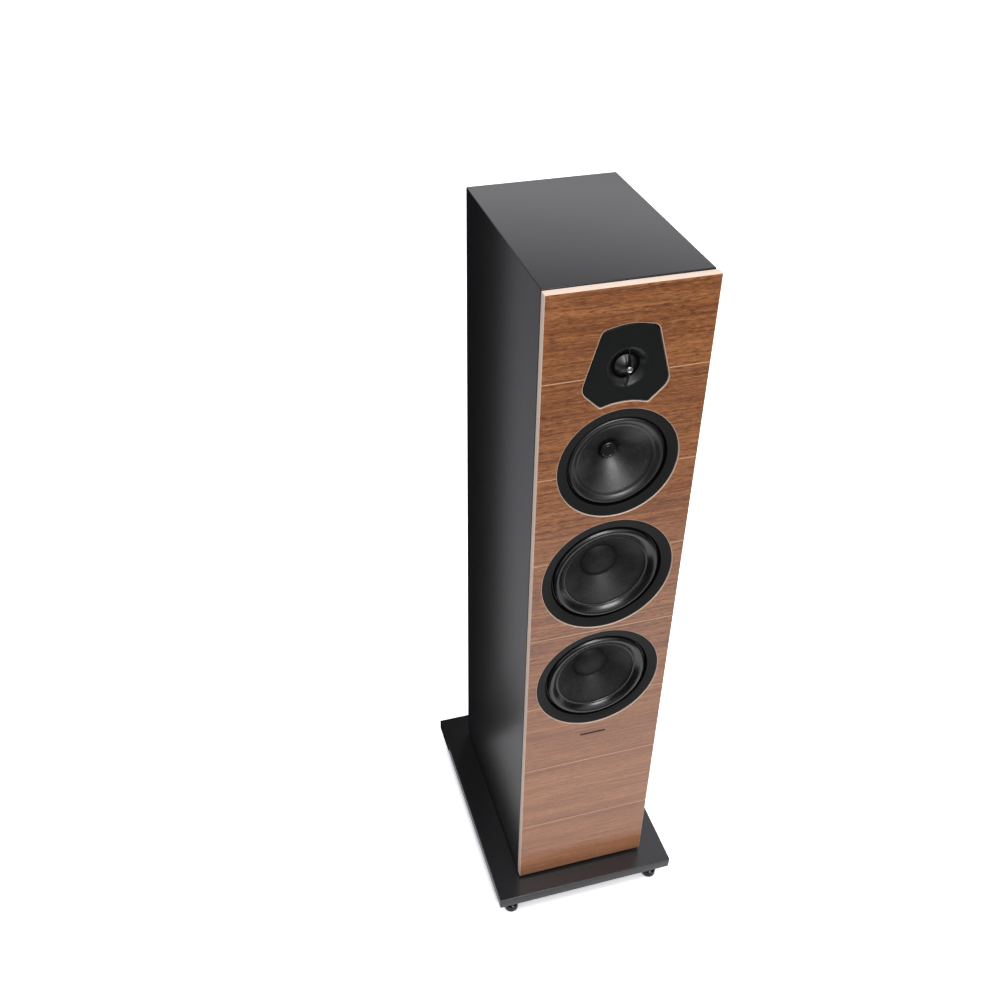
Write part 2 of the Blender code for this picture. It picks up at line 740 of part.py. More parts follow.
# ---------------------------------------------------------------- terminals
def build_terminals():
    z = CABINET_BOTTOM + TERMINAL_HEIGHT
    face = CABINET_BACK_Y + GAP
    floor = CABINET_BACK_Y - CUP_DEPTH
    plate = box(
        "terminal_plate",
        (-DISH_HALF_X, face, z - DISH_HALF_Z),
        (DISH_HALF_X, face + DISH_THICKNESS, z + DISH_HALF_Z),
        "trim_black",
        bevel=0.0008,
    )
    cup = box(
        "terminal_cup",
        (-CUP_HALF_X, floor, z - CUP_HALF_Z),
        (CUP_HALF_X, face + DISH_THICKNESS / 3, z + CUP_HALF_Z),
        "board",
    )
    pocket_x, pocket_z = CUP_HALF_X - CUP_WALL, CUP_HALF_Z - CUP_WALL
    pocket = box(
        "terminal_pocket",
        (-pocket_x, floor + CUP_WALL, z - pocket_z),
        (pocket_x, face + 0.020, z + pocket_z),
        "board",
    )
    join(plate, cup)
    cut(plate, pocket)
    for side, colour, knob_finish in ((-1, "black", "gloss_black"), (1, "red", "knob_red")):
        place = (side * TERMINAL_SPACING / 2, floor + CUP_WALL, z)
        build_terminal(add_axis(f"terminal_axis_{colour}", place, -math.pi / 2), colour, knob_finish)


def build_terminal(axis, colour, knob_finish):
    """A threaded post with a clamping collar and the knob that presses it down."""
    post = [
        (0.0, POST_LENGTH),
        (POST_RADIUS, POST_LENGTH),
        (POST_RADIUS, POST_BASE_HEIGHT),
        (POST_BASE_RADIUS, POST_BASE_HEIGHT),
        (POST_BASE_RADIUS, GAP),
        (0.0, GAP),
    ]
    turned(f"terminal_post_{colour}", post, "gold_plate", axis, SMALL_SEGMENTS, closed=False)
    collar = [
        (TERMINAL_BORE, COLLAR_HIGH),
        (COLLAR_RADIUS, COLLAR_HIGH),
        (COLLAR_RADIUS, COLLAR_LOW),
        (TERMINAL_BORE, COLLAR_LOW),
    ]
    turned(f"terminal_collar_{colour}", collar, "gold_plate", axis, SMALL_SEGMENTS)
    knob = [
        (TERMINAL_BORE, KNOB_HIGH),
        (KNOB_RADIUS - KNOB_CHAMFER, KNOB_HIGH),
        (KNOB_RADIUS, KNOB_HIGH - KNOB_CHAMFER),
        (KNOB_RADIUS, KNOB_LOW),
        (TERMINAL_BORE, KNOB_LOW),
    ]
    turned(f"terminal_knob_{colour}", knob, knob_finish, axis, SMALL_SEGMENTS)


# ---------------------------------------------------------------- crossover
def build_crossover():
    """A board on the cabinet's floor, with an air-cored inductor and a film capacitor."""
    board_z, board_thickness = CABINET_BOTTOM + BOARD + BOARD_FLOOR_GAP, 0.002
    top = board_z + board_thickness
    box("crossover_board", (-0.060, -0.070, board_z), (0.060, 0.050, top), "circuit_board")

    coil_inner, coil_outer, coil_height = 0.010, 0.024, 0.020
    coil_axis = add_axis("inductor_axis", (-0.026, -0.035, top + GAP), 0.0)
    coil = [(coil_inner, coil_height), (coil_outer, coil_height), (coil_outer, 0.0), (coil_inner, 0.0)]
    turned("crossover_inductor", coil, "coil_copper", coil_axis)

    can_radius, can_length, end_radius, bevel = 0.0110, 0.046, 0.0095, 0.002
    can_axis = add_axis("capacitor_axis", (0.030, -0.055, top + GAP + can_radius), -math.pi / 2)
    can = [(0.0, can_length), (end_radius, can_length), (can_radius, can_length - bevel)]
    can += [(can_radius, bevel), (end_radius, 0.0), (0.0, 0.0)]
    turned("crossover_capacitor", can, "film_capacitor", can_axis, SMALL_SEGMENTS, closed=False)


# ---------------------------------------------------------------- stand
def foot_places():
    x = PLINTH_WIDTH / 2 - FOOT_INSET_X
    y = PLINTH_DEPTH / 2 - FOOT_INSET_Y
    return {
        "front_left": (-x, -y),
        "front_right": (x, -y),
        "rear_left": (-x, y),
        "rear_right": (x, y),
    }


def build_stand():
    half_x, half_y = PLINTH_WIDTH / 2, PLINTH_DEPTH / 2
    top = FOOT_HEIGHT + PLINTH_THICKNESS
    plinth = box("plinth", (-half_x, -half_y, FOOT_HEIGHT), (half_x, half_y, top), "plinth_black", bevel=0.0008)
    spacer_x, spacer_front, spacer_back, rail = 0.080, CABINET_FRONT_Y + 0.012, CABINET_BACK_Y - 0.020, 0.020
    spacer = box(
        "plinth_spacer",
        (-spacer_x, spacer_front, top + GAP),
        (spacer_x, spacer_back, top + SPACER_HEIGHT - GAP),
        "rubber_black",
    )
    hollow = box(
        "spacer_hollow",
        (-spacer_x + rail, spacer_front + rail, top - 0.01),
        (spacer_x - rail, spacer_back - rail, top + SPACER_HEIGHT + 0.01),
        "board",
    )
    cut(spacer, hollow)
    for place, (x, y) in foot_places().items():
        axis = add_axis(f"foot_axis_{place}", (x, y, 0), 0.0)
        bore_end = FOOT_HEIGHT + STUD_REACH + GAP
        bore_radius = STUD_RADIUS + STUD_CLEARANCE
        bore = rod(f"foot_bore_{place}", bore_radius, FOOT_HEIGHT - 0.01, bore_end, axis, SMALL_SEGMENTS)
        cut(plinth, bore)
        build_foot(place, axis)


def build_foot(place, axis):
    """A round pad that slides up and down with the threaded stud turning above it."""
    pad = [
        (0.0, PAD_HEIGHT),
        (PAD_RADIUS - 0.0025, PAD_HEIGHT),
        (PAD_RADIUS, PAD_HEIGHT - 0.0020),
        (PAD_RADIUS, 0.0022),
        (PAD_RADIUS - 0.0015, 0.0),
        (0.0, 0.0),
    ]
    turned(f"foot_pad_{place}", pad, "foot_black", axis, SMALL_SEGMENTS, closed=False)
    shaft_top = FOOT_HEIGHT + STUD_REACH
    nut_low = PAD_HEIGHT + GAP
    stud = [
        (0.0, shaft_top),
        (STUD_RADIUS, shaft_top),
        (STUD_RADIUS, nut_low + NUT_HEIGHT),
        (NUT_RADIUS, nut_low + NUT_HEIGHT),
        (NUT_RADIUS, nut_low),
        (0.0, nut_low),
    ]
    turned(f"foot_stud_{place}", stud, "steel", axis, SMALL_SEGMENTS, closed=False)


# ---------------------------------------------------------------- assembly
def main():
    clear_scene()
    heights = {"tweeter": TWEETER_HEIGHT, "mid": MID_HEIGHT, **WOOFER_HEIGHTS}
    axes = {
        name: add_axis(name + "_axis", (0, BAFFLE_FACE_Y, CABINET_BOTTOM + height), math.pi / 2)
        for name, height in heights.items()
    }
    build_port(build_cabinet())
    build_baffles(axes)
    build_tweeter(axes["tweeter"])
    build_cone_driver("mid", MID, axes["mid"])
    build_mid_chamber(axes["mid"])
    for name in WOOFER_HEIGHTS:
        build_cone_driver(name, WOOFER, axes[name])
    build_terminals()
    build_crossover()
    build_stand()


main()
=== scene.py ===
"""The looks of a three-way floorstanding speaker: fine meshes and procedural materials around its CAD frame.

Units are metres, +Z is up and the baffle faces -Y. A driver's own frame has +Z forward, out of the baffle,
with zero on the baffle's face.
"""

import math

import bmesh
import bpy
import numpy as np
from mathutils import Matrix, Vector
from mathutils.geometry import tessellate_polygon


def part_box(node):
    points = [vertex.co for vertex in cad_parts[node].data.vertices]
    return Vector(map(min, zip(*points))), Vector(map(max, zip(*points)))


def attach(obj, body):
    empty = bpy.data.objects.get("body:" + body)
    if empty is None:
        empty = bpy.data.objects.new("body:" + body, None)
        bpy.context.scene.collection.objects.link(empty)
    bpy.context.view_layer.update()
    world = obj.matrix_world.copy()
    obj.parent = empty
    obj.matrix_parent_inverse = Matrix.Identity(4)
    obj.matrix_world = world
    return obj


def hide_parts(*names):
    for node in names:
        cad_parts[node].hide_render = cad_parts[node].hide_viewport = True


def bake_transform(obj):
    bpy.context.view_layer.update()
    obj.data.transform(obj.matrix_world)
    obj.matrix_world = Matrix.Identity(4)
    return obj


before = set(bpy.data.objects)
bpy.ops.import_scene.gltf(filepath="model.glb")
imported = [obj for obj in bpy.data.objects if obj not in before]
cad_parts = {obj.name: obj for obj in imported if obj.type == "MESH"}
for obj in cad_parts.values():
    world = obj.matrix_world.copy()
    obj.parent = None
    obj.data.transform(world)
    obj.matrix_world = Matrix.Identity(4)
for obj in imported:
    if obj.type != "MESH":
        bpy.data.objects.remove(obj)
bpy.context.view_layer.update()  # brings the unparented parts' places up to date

# ---- places that the frame gives
BAFFLE_LOW, BAFFLE_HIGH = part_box("front_baffle")
WRAP_LOW, WRAP_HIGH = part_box("cabinet_wrap")
BACK_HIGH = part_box("back_panel")[1]
PLINTH_LOW, PLINTH_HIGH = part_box("plinth")
FACE_Y = BAFFLE_LOW.y
BOARD = WRAP_HIGH.z - BACK_HIGH.z  # thickness of the cabinet's boards
COLOURS = ("black", "red")
KNOB_FLUTES = 18
FOOT_PLACES = ("front_left", "front_right", "rear_left", "rear_right")
CONE_DRIVERS = ("mid", "woofer_upper", "woofer_lower")

# inlay lines, as heights above the baffle's lower edge
FIRST_LINE = 0.1180
LINE_PITCH = 0.12753
LINE_COUNT = 7

SMOOTH_ANGLE = math.radians(38)
LEVEL = 0.99995  # above this cosine to its object's Z axis, a face is flat shaded
RING_STEPS = 160  # points around a driver's large pieces
SMALL_STEPS = 64


def extent(node):
    """The middle of a node's box and half its size."""
    low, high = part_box(node)
    return (low + high) / 2, (high - low) / 2


def centre(node):
    return extent(node)[0]


def front_place(x, y, z):
    """A frame with +X right, +Y up and +Z forward, out of the baffle."""
    return Matrix.Translation((x, y, z)) @ Matrix.Rotation(math.pi / 2, 4, "X")


def driver_place(node):
    """The frame of the driver that a node belongs to."""
    middle = centre(node)
    return front_place(middle.x, FACE_Y, middle.z)


def rear_place(x, y, z):
    """A frame whose +Z points out of the back panel."""
    return Matrix.Translation((x, y, z)) @ Matrix.Rotation(-math.pi / 2, 4, "X")


# ---- outlines
def shares(steps):
    """Evenly spaced numbers from 0 to 1."""
    return [step / steps for step in range(steps + 1)]


def circle(radius, steps=RING_STEPS):
    angles = [2 * math.pi * i / steps for i in range(steps)]
    return [Vector((radius * math.cos(a), radius * math.sin(a))) for a in angles]


def arc(middle, radius, start, end, steps):
    """Points on an arc, in degrees anticlockwise from +X, both ends included."""
    angles = [math.radians(start + (end - start) * share) for share in shares(steps)]
    return [Vector((middle[0] + radius * math.cos(a), middle[1] + radius * math.sin(a))) for a in angles]


def rectangle(half_x, half_y, radius, steps=4):
    """A rectangle about the origin with round corners, anticlockwise."""
    points = []
    corners = ((1, 1, 0), (-1, 1, 90), (-1, -1, 180), (1, -1, 270))
    for side_x, side_y, start in corners:
        middle = (side_x * (half_x - radius), side_y * (half_y - radius))
        points += arc(middle, radius, start, start + 90, steps)
    return points


def rounded(points, closed=True, steps=5):
    """A profile of (radius, height) points, where a third value rounds that corner."""
    result = []
    for i, point in enumerate(points):
        corner = Vector(point[:2])
        fillet = point[2] if len(point) > 2 else 0.0
        if not fillet or (not closed and i in (0, len(points) - 1)):
            result.append(corner)
            continue
        before = Vector(points[i - 1][:2]) - corner
        after = Vector(points[(i + 1) % len(points)][:2]) - corner
        half = before.angle(after) / 2
        reach = min(fillet / math.tan(half), 0.48 * before.length, 0.48 * after.length)
        start = corner + before.normalized() * reach
        end = corner + after.normalized() * reach
        result += [start.lerp(corner, t).lerp(corner.lerp(end, t), t) for t in shares(steps)]
    return result


# ---- meshes
def link(name, mesh, place=None):
    obj = bpy.data.objects.new(name, mesh)
    bpy.context.scene.collection.objects.link(obj)
    if place is not None:
        obj.matrix_world = place
    return obj


def mesh_piece(name, verts, faces, place, sharp=SMOOTH_ANGLE):
    mesh = bpy.data.meshes.new(name)
    mesh.from_pydata([tuple(v) for v in verts], [], faces)
    bm = bmesh.new()
    bm.from_mesh(mesh)
    bmesh.ops.remove_doubles(bm, verts=bm.verts, dist=0.000001)
    bmesh.ops.recalc_face_normals(bm, faces=bm.faces)
    bm.to_mesh(mesh)
    bm.free()
    mesh.shade_smooth()
    mesh.set_sharp_from_angle(angle=sharp)
    for face in mesh.polygons:
        face.use_smooth = abs(face.normal.z) < LEVEL  # broad flat faces keep their own normal
    return link(name, mesh, place)


def lathe(name, profile, place, steps=RING_STEPS, closed=True, shape=None, sharp=SMOOTH_ANGLE):
    """A turned solid. A closed profile makes a ring, and an open one starts and ends on the axis.

    shape(angle, radius, height) may give another radius, for flutes and threads.
    """
    verts, faces = [], []
    count = len(profile)
    for i in range(steps):
        angle = 2 * math.pi * i / steps
        for point in profile:
            radius = shape(angle, point[0], point[1]) if shape else point[0]
            verts.append((radius * math.cos(angle), radius * math.sin(angle), point[1]))
    rows = count if closed else count - 1
    for i in range(steps):
        here, there = i * count, ((i + 1) % steps) * count
        for j in range(rows):
            k = (j + 1) % count
            faces.append((here + j, here + k, there + k, there + j))
    return mesh_piece(name, verts, faces, place, sharp)


def quarter(steps):
    """The pairs (1 - sine, 1 - cosine) over a quarter turn, for rounded edges."""
    angles = [math.pi / 2 * share for share in shares(steps)]
    return [(1 - math.sin(angle), 1 - math.cos(angle)) for angle in angles]


def edge_rings(outline, front, back, radius, inward=False, steps=3):
    """Rings from a front face to a back face, with the front arris rounded. outline(grow) gives the loop."""
    sign = 1 if inward else -1
    rings = [(outline(sign * radius * inset), front - radius * drop) for inset, drop in quarter(steps)]
    return rings + [(outline(0.0), back)]


def both_edges(outline, front, back, radius, inward=False, steps=3):
    """The same with both arrises rounded."""
    sign = 1 if inward else -1
    rings = edge_rings(outline, front, back + radius, radius, inward, steps)
    turns = quarter(steps)[1:]
    return rings + [(outline(sign * radius * drop), back + radius * inset) for inset, drop in turns]


def join_rings(starts, size):
    """Quads between rings of equal size whose first vertices are given."""
    return [
        (first + i, first + (i + 1) % size, second + (i + 1) % size, second + i)
        for first, second in zip(starts, starts[1:])
        for i in range(size)
    ]


def sheet(name, edges, place, blinds=()):
    """A board with openings.

    Each edge is a list of (loop, height) rings from the front face to the back face. A blind is a list of
    rings from the back face to the closed end of a hole.
    """
    verts, faces = [], []

    def add_rings(rings):
        starts = []
        for loop, height in rings:
            starts.append(len(verts))
            verts.extend((point[0], point[1], height) for point in loop)
        size = len(rings[0][0])
        faces.extend(join_rings(starts, size))
        return starts, size

    front, back = [], []
    for rings in edges:
        starts, size = add_rings(rings)
        front.append([starts[0] + i for i in range(size)])
        back.append([starts[-1] + i for i in range(size)])
    for rings in blinds:
        starts, size = add_rings(rings)
        back.append([starts[0] + i for i in range(size)])
        faces.append([starts[-1] + i for i in range(size)])
    for loops in (front, back):
        flat = [index for loop in loops for index in loop]
        for triangle in tessellate_polygon([[Vector(verts[index]) for index in loop] for loop in loops]):
            faces.append([flat[i] for i in triangle])
    return mesh_piece(name, verts, faces, place)


def skin(name, verts, size, place, sharp=SMOOTH_ANGLE):
    """A closed solid through rings of equal size, with its first and last rings filled."""
    last = len(verts) - size
    ends = [list(range(size)), [last + i for i in range(size)]]
    return mesh_piece(name, verts, join_rings(range(0, len(verts), size), size) + ends, place, sharp)


def loft(name, rings, place, sharp=SMOOTH_ANGLE):
    """The same through (loop, height) rings."""
    verts = [(point[0], point[1], height) for loop, height in rings for point in loop]
    return skin(name, verts, len(rings[0][0]), place, sharp)


def block(name, low, high, radius, steps):
    """A board between two corners with every arris rounded."""
    low, high = Vector(low), Vector(high)
    middle, half = (low + high) / 2, (high - low) / 2
    outline = lambda grow: rectangle(half.x + grow, half.y + grow, radius, steps)
    return loft(name, both_edges(outline, half.z, -half.z, radius, steps=steps), Matrix.Translation(middle))


def settle(obj, place):
    """Moves an object's place into its mesh, so that its finish is laid out in the speaker's own frame."""
    obj.data.transform(place)
    obj.matrix_world = Matrix.Identity(4)


def paint_faces(obj, finish, chosen):
    """Gives the faces that chosen(centre, normal) accepts, in the object's frame, a further finish."""
    obj.data.materials.append(MATERIALS[finish])
    index = len(obj.data.materials) - 1
    for face in obj.data.polygons:
        if chosen(face.center, face.normal):
            face.material_index = index


def fit(obj, slot, finish, *replaced, body="enclosure"):
    """Puts a piece on its body with its finish, in place of CAD nodes. The slot is not used."""
    obj.data.materials.append(MATERIALS[finish])
    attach(obj, body)
    if replaced:
        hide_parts(*replaced)


# ---- material nodes
class NodeMaker:
    """Short calls that add nodes to a material's or the world's tree."""

    def __init__(self, owner):
        owner.use_nodes = True
        self.tree = owner.node_tree

    def node(self, kind, inputs=None, **settings):
        made = self.tree.nodes.new("ShaderNode" + kind)
        for key, value in settings.items():
            setattr(made, key, value)
        for key, value in (inputs or {}).items():
            self.feed(made.inputs[key], value)
        return made

    def feed(self, socket, value):
        if isinstance(value, bpy.types.NodeSocket):
            self.tree.links.new(value, socket)
        else:
            socket.default_value = value

    def camera_ray(self):
        return self.node("LightPath").outputs["Is Camera Ray"]


class Finish(NodeMaker):
    """A procedural material whose colour is laid on in layers. Its coordinates are its object's, in metres."""

    def __init__(self, name):
        self.material = bpy.data.materials.new(name)
        super().__init__(self.material)
        self.shader = self.tree.nodes["Principled BSDF"]
        self.place = self.node("TexCoord").outputs["Object"]
        self.colour = None

    def math(self, operation, first, second=0.0, third=0.0):
        return self.node("Math", {0: first, 1: second, 2: third}, operation=operation).outputs[0]

    def times(self, first, second):
        return self.math("MULTIPLY", first, second)

    def vary(self, noise, value, span):
        """A value that wanders over span with the noise."""
        return self.math("MULTIPLY_ADD", noise, span, value - span / 2)

    def split(self, vector=None):
        outputs = self.node("SeparateXYZ", {0: vector or self.place}).outputs
        return outputs[0], outputs[1], outputs[2]

    def join(self, x, y, z):
        return self.node("CombineXYZ", {0: x, 1: y, 2: z}).outputs[0]

    def noise(self, scale, detail=2.0, roughness=0.5, vector=None, distortion=0.0):
        """Noise from 0 to 1. Scale is waves a metre, one number or one for each axis."""
        if isinstance(scale, (int, float)):
            scale = (scale, scale, scale)
        source = self.node("VectorMath", {0: vector or self.place, 1: scale}, operation="MULTIPLY")
        settings = {"Vector": source.outputs[0], "Scale": 1.0, "Detail": detail}
        settings.update({"Roughness": roughness, "Distortion": distortion})
        return self.node("TexNoise", settings).outputs["Fac"]

    def ramp(self, value, *stops):
        """Maps a value through (position, grey or colour) stops."""
        made = self.node("ValToRGB", {0: value})
        ramp = made.color_ramp
        while len(ramp.elements) < len(stops):
            ramp.elements.new(0.5)
        for element, (position, colour) in zip(ramp.elements, stops):
            element.position = position
            grey = isinstance(colour, (int, float))
            element.color = (colour, colour, colour, 1.0) if grey else (*colour, 1.0)
        return made.outputs[0]

    def above(self, value, start, end):
        """A mask that rises from 0 to 1 as the value goes from start to end."""
        return self.ramp(value, (start, 0.0), (end, 1.0))

    def below(self, value, start, end):
        """A mask that falls from 1 to 0 as the value goes from start to end."""
        return self.ramp(value, (start, 1.0), (end, 0.0))

    def mix(self, share, first, second, blend="MIX"):
        made = self.node("Mix", data_type="RGBA", blend_type=blend, clamp_factor=True)
        self.feed(made.inputs[0], share)
        self.feed(made.inputs[6], first if isinstance(first, bpy.types.NodeSocket) else (*first, 1.0))
        self.feed(made.inputs[7], second if isinstance(second, bpy.types.NodeSocket) else (*second, 1.0))
        return made.outputs[2]

    def cover(self, mask, strength, colour):
        """Lays a colour over the finish's own where the mask is high."""
        self.colour = self.mix(self.times(mask, strength), self.colour, colour)

    def bump(self, height, depth, strength=1.0):
        """Relief whose full height is depth metres, added to any relief already there."""
        made = self.node("Bump", {"Height": height, "Distance": depth, "Strength": strength})
        normal = self.shader.inputs["Normal"]
        if normal.is_linked:
            self.feed(made.inputs["Normal"], normal.links[0].from_socket)
        self.feed(normal, made.outputs[0])

    def radius(self):
        """Distance from the object's own Z axis."""
        x, y, _ = self.split()
        return self.math("SQRT", self.math("ADD", self.times(x, x), self.times(y, y)))

    def set(self, **values):
        """Sets the shader's inputs and returns the material."""
        values["colour"] = self.colour
        names = {"colour": "Base Color", "specular": "Specular IOR Level", "coat": "Coat Weight"}
        names.update({"coat_roughness": "Coat Roughness", "sheen": "Sheen Weight"})
        for key, value in values.items():
            socket = self.shader.inputs[names.get(key, key.capitalize())]
            self.feed(socket, (*value, 1.0) if isinstance(value, tuple) and len(value) == 3 else value)
        return self.material


# ---- wood
SHEENED_FIGURE = 0.35  # strength of the streaks in the lowest strips, faded there as a painted sheen


def walnut(first_line, pitch):
    """Walnut with level grain. Low down its figure is calmer and its colour paler and cooler, both a painted
    sheen. Each strip between two inlay lines has its own figure.
    """
    f = Finish("walnut_veneer")
    x, y, z = f.split()
    strip = f.math("FLOOR", f.math("DIVIDE", f.math("SUBTRACT", z, first_line), pitch))
    shifted = f.join(f.math("MULTIPLY_ADD", strip, 1.37, x), y, f.math("MULTIPLY_ADD", strip, 0.53, z))
    wander = f.noise((5.0, 5.0, 14.0), 2.0, 0.5, shifted)
    sx, sy, sz = f.split(shifted)
    bent = f.join(sx, sy, f.math("MULTIPLY_ADD", wander, 0.010, sz))

    # 1 high on the baffle and falling low down, where the figure fades and the colour pales as a painted sheen
    fade = {"Value": z, "From Min": 0.30, "From Max": 0.62, "To Min": SHEENED_FIGURE}
    unsheened_share = f.node("MapRange", fade).outputs[0]
    broad = f.noise((2.4, 8.0, 38.0), 3.0, 0.55, bent)
    streak = f.noise((7.0, 20.0, 300.0), 4.0, 0.62, bent)
    fibre = f.noise((26.0, 90.0, 800.0), 3.0, 0.65, bent)
    dash = f.noise((95.0, 120.0, 640.0), 3.0, 0.65, bent)
    pores = f.noise((150.0, 200.0, 1300.0), 2.0, 0.5, bent)

    bands = [(0.28, (0.260, 0.084, 0.026)), (0.44, (0.350, 0.127, 0.041))]
    bands += [(0.57, (0.430, 0.170, 0.058)), (0.72, (0.320, 0.112, 0.035))]
    f.colour = f.ramp(broad, *bands)
    dark_streak = f.below(streak, 0.36, 0.50)
    f.cover(dark_streak, f.times(unsheened_share, 0.72), (0.130, 0.041, 0.014))
    light_streak = f.above(streak, 0.54, 0.72)
    f.cover(light_streak, 0.55, (0.640, 0.300, 0.118))
    f.cover(f.below(fibre, 0.35, 0.55), 0.30, (0.150, 0.050, 0.018))
    short_dash = f.below(dash, 0.35, 0.47)
    f.cover(short_dash, f.times(unsheened_share, 0.80), (0.085, 0.027, 0.010))
    pale_dash = f.above(dash, 0.56, 0.68)
    f.cover(pale_dash, f.times(unsheened_share, 0.45), (0.660, 0.320, 0.130))
    pore = f.below(pores, 0.30, 0.39)
    f.cover(pore, 0.50, (0.050, 0.018, 0.009))
    # painted sheen: a paler, cooler tint low down and a richer, darker one high up
    painted_sheen_tint = f.mix(unsheened_share, (1.00, 1.04, 1.22), (0.90, 0.87, 0.84))
    f.colour = f.mix(1.0, f.colour, painted_sheen_tint, "MULTIPLY")

    f.bump(f.times(pore, -1.0), 0.00005, 0.5)
    f.bump(fibre, 0.00003, 0.3)
    shine = f.ramp(fibre, (0.2, 0.34), (0.8, 0.26))
    return f.set(roughness=shine, specular=0.8, coat=0.6, coat_roughness=0.16)


def birch_ply(name, front_y, depth):
    """The baffle's cut edge: pale plies between thin glue lines."""
    f = Finish(name)
    _, y, _ = f.split()
    level = f.math("DIVIDE", f.math("SUBTRACT", y, front_y), depth)
    ply = f.math("FRACT", f.times(level, 6.0))
    fibre = f.noise(60.0, 3.0, 0.6)
    speck = f.noise((700.0, 500.0, 700.0), 2.0, 0.6)
    f.colour = f.mix(fibre, (0.70, 0.57, 0.47), (0.62, 0.49, 0.40))
    f.cover(f.below(speck, 0.40, 0.55), 0.25, (0.52, 0.34, 0.22))
    glue = f.ramp(ply, (0.00, 1.0), (0.05, 0.0), (0.95, 0.0), (1.00, 1.0))
    f.cover(glue, 0.45, (0.42, 0.25, 0.15))
    f.bump(speck, 0.00005, 0.4)
    return f.set(roughness=0.45, specular=0.4)


def maple():
    f = Finish("maple_inlay")
    grain = f.noise((20.0, 60.0, 900.0), 3.0, 0.6)
    f.colour = f.mix(grain, (0.74, 0.50, 0.30), (0.58, 0.36, 0.20))
    f.bump(grain, 0.00003, 0.3)
    return f.set(roughness=0.30, coat=0.25, coat_roughness=0.16)


def fibreboard(name, light, dark):
    """Pressed fibreboard: close-packed fibres and a few larger flakes."""
    f = Finish(name)
    fibre = f.noise((380.0, 380.0, 1100.0), 4.0, 0.65)
    flake = f.noise(90.0, 3.0, 0.5)
    f.colour = f.mix(fibre, dark, light)
    f.cover(f.above(flake, 0.45, 0.62), 0.25, light)
    f.bump(fibre, 0.00015, 0.6)
    return f.set(roughness=0.85, specular=0.25)


# ---- painted and moulded finishes
def scaled(colour, factor):
    return tuple(factor * value for value in colour)


def satin_lacquer(name, colour, roughness, specular):
    """Dark satin lacquer over a faint upright grain, with a fine orange-peel texture."""
    f = Finish(name)
    grain = f.noise((420.0, 420.0, 9.0), 3.0, 0.6)
    cloud = f.noise(7.0, 3.0, 0.6)
    peel = f.noise(700.0, 2.0, 0.5)
    tint = scaled(colour, 1.35)
    f.colour = f.mix(f.above(grain, 0.35, 0.70), colour, tint)
    f.cover(cloud, 0.35, tint)
    gloss = f.vary(cloud, roughness, 0.04)
    gloss = f.math("MULTIPLY_ADD", f.math("SUBTRACT", grain, 0.5), 0.03, gloss)
    f.bump(grain, 0.0000012, 0.4)
    f.bump(peel, 0.0000012, 0.4)
    return f.set(roughness=gloss, specular=specular)


def moulded(name, colour, roughness, specular=0.5, texture=0.00004):
    """Moulded plastic or painted metal with a fine spark-eroded texture and slight polish marks."""
    f = Finish(name)
    spark = f.noise(2600.0, 3.0, 0.6)
    cloud = f.noise(38.0, 3.0, 0.5)
    lighter = scaled(colour, 1.5)
    f.colour = f.mix(f.above(spark, 0.40, 0.75), colour, lighter)
    f.cover(cloud, 0.4, lighter)
    f.bump(spark, texture, 0.6)
    gloss = f.vary(cloud, roughness, 0.12)
    return f.set(roughness=gloss, specular=specular)


def gloss_paint(name, colour, roughness=0.08, coat=0.5):
    """Polished black or coloured gloss with hairline marks and faint dust."""
    f = Finish(name)
    hair = f.noise((60.0, 900.0, 60.0), 4.0, 0.7)
    dust = f.noise(1500.0, 2.0, 0.5)
    dusty = tuple(value + 0.05 for value in colour)
    f.colour = f.mix(f.ramp(dust, (0.66, 0.0), (0.74, 0.3)), colour, dusty)
    gloss = f.math("MULTIPLY_ADD", hair, 0.08, roughness - 0.02)
    f.bump(hair, 0.00001, 0.3)
    return f.set(roughness=gloss, coat=coat, coat_roughness=0.05)


def rubber(name, colour=(0.013, 0.013, 0.014), roughness=0.42, specular=0.5):
    f = Finish(name)
    grain = f.noise(1700.0, 3.0, 0.6)
    bloom = f.noise(45.0, 4.0, 0.6)
    f.colour = colour
    f.cover(bloom, 0.6, scaled(colour, 2.0))
    f.bump(grain, 0.00001, 0.5)
    gloss = f.vary(bloom, roughness, 0.14)
    return f.set(roughness=gloss, specular=specular)


def cone_paper(name, seed, roughness, specular):
    """Coated paper pulp: soft clouds, matted fibres and short pale scratches."""
    f = Finish(name)
    shifted = f.node("VectorMath", {0: f.place, 1: (seed, seed, seed)}, operation="ADD").outputs[0]
    cloud = f.noise(60.0, 4.0, 0.6, shifted)
    pulp = f.noise(420.0, 4.0, 0.7, shifted, distortion=1.2)
    x, y, z = f.split(shifted)
    turn = f.times(f.noise(24.0, 1.0, 0.5, shifted), 9.0)
    cosine, sine = f.math("COSINE", turn), f.math("SINE", turn)
    along = f.math("ADD", f.times(x, cosine), f.times(y, sine))
    across = f.math("SUBTRACT", f.times(y, cosine), f.times(x, sine))
    strand = f.noise((90.0, 1500.0, 300.0), 2.0, 0.5, f.join(along, across, z))
    f.colour = f.mix(cloud, (0.008, 0.008, 0.0085), (0.018, 0.018, 0.019))
    f.cover(f.above(pulp, 0.45, 0.70), 0.7, (0.036, 0.036, 0.037))
    scratch = f.times(f.above(strand, 0.62, 0.70), f.above(cloud, 0.45, 0.6))
    f.cover(scratch, 0.7, (0.12, 0.12, 0.125))
    f.bump(pulp, 0.00022, 0.7)
    f.bump(strand, 0.00010, 0.5)
    gloss = f.vary(cloud, roughness, 0.20)
    return f.set(roughness=gloss, specular=specular)


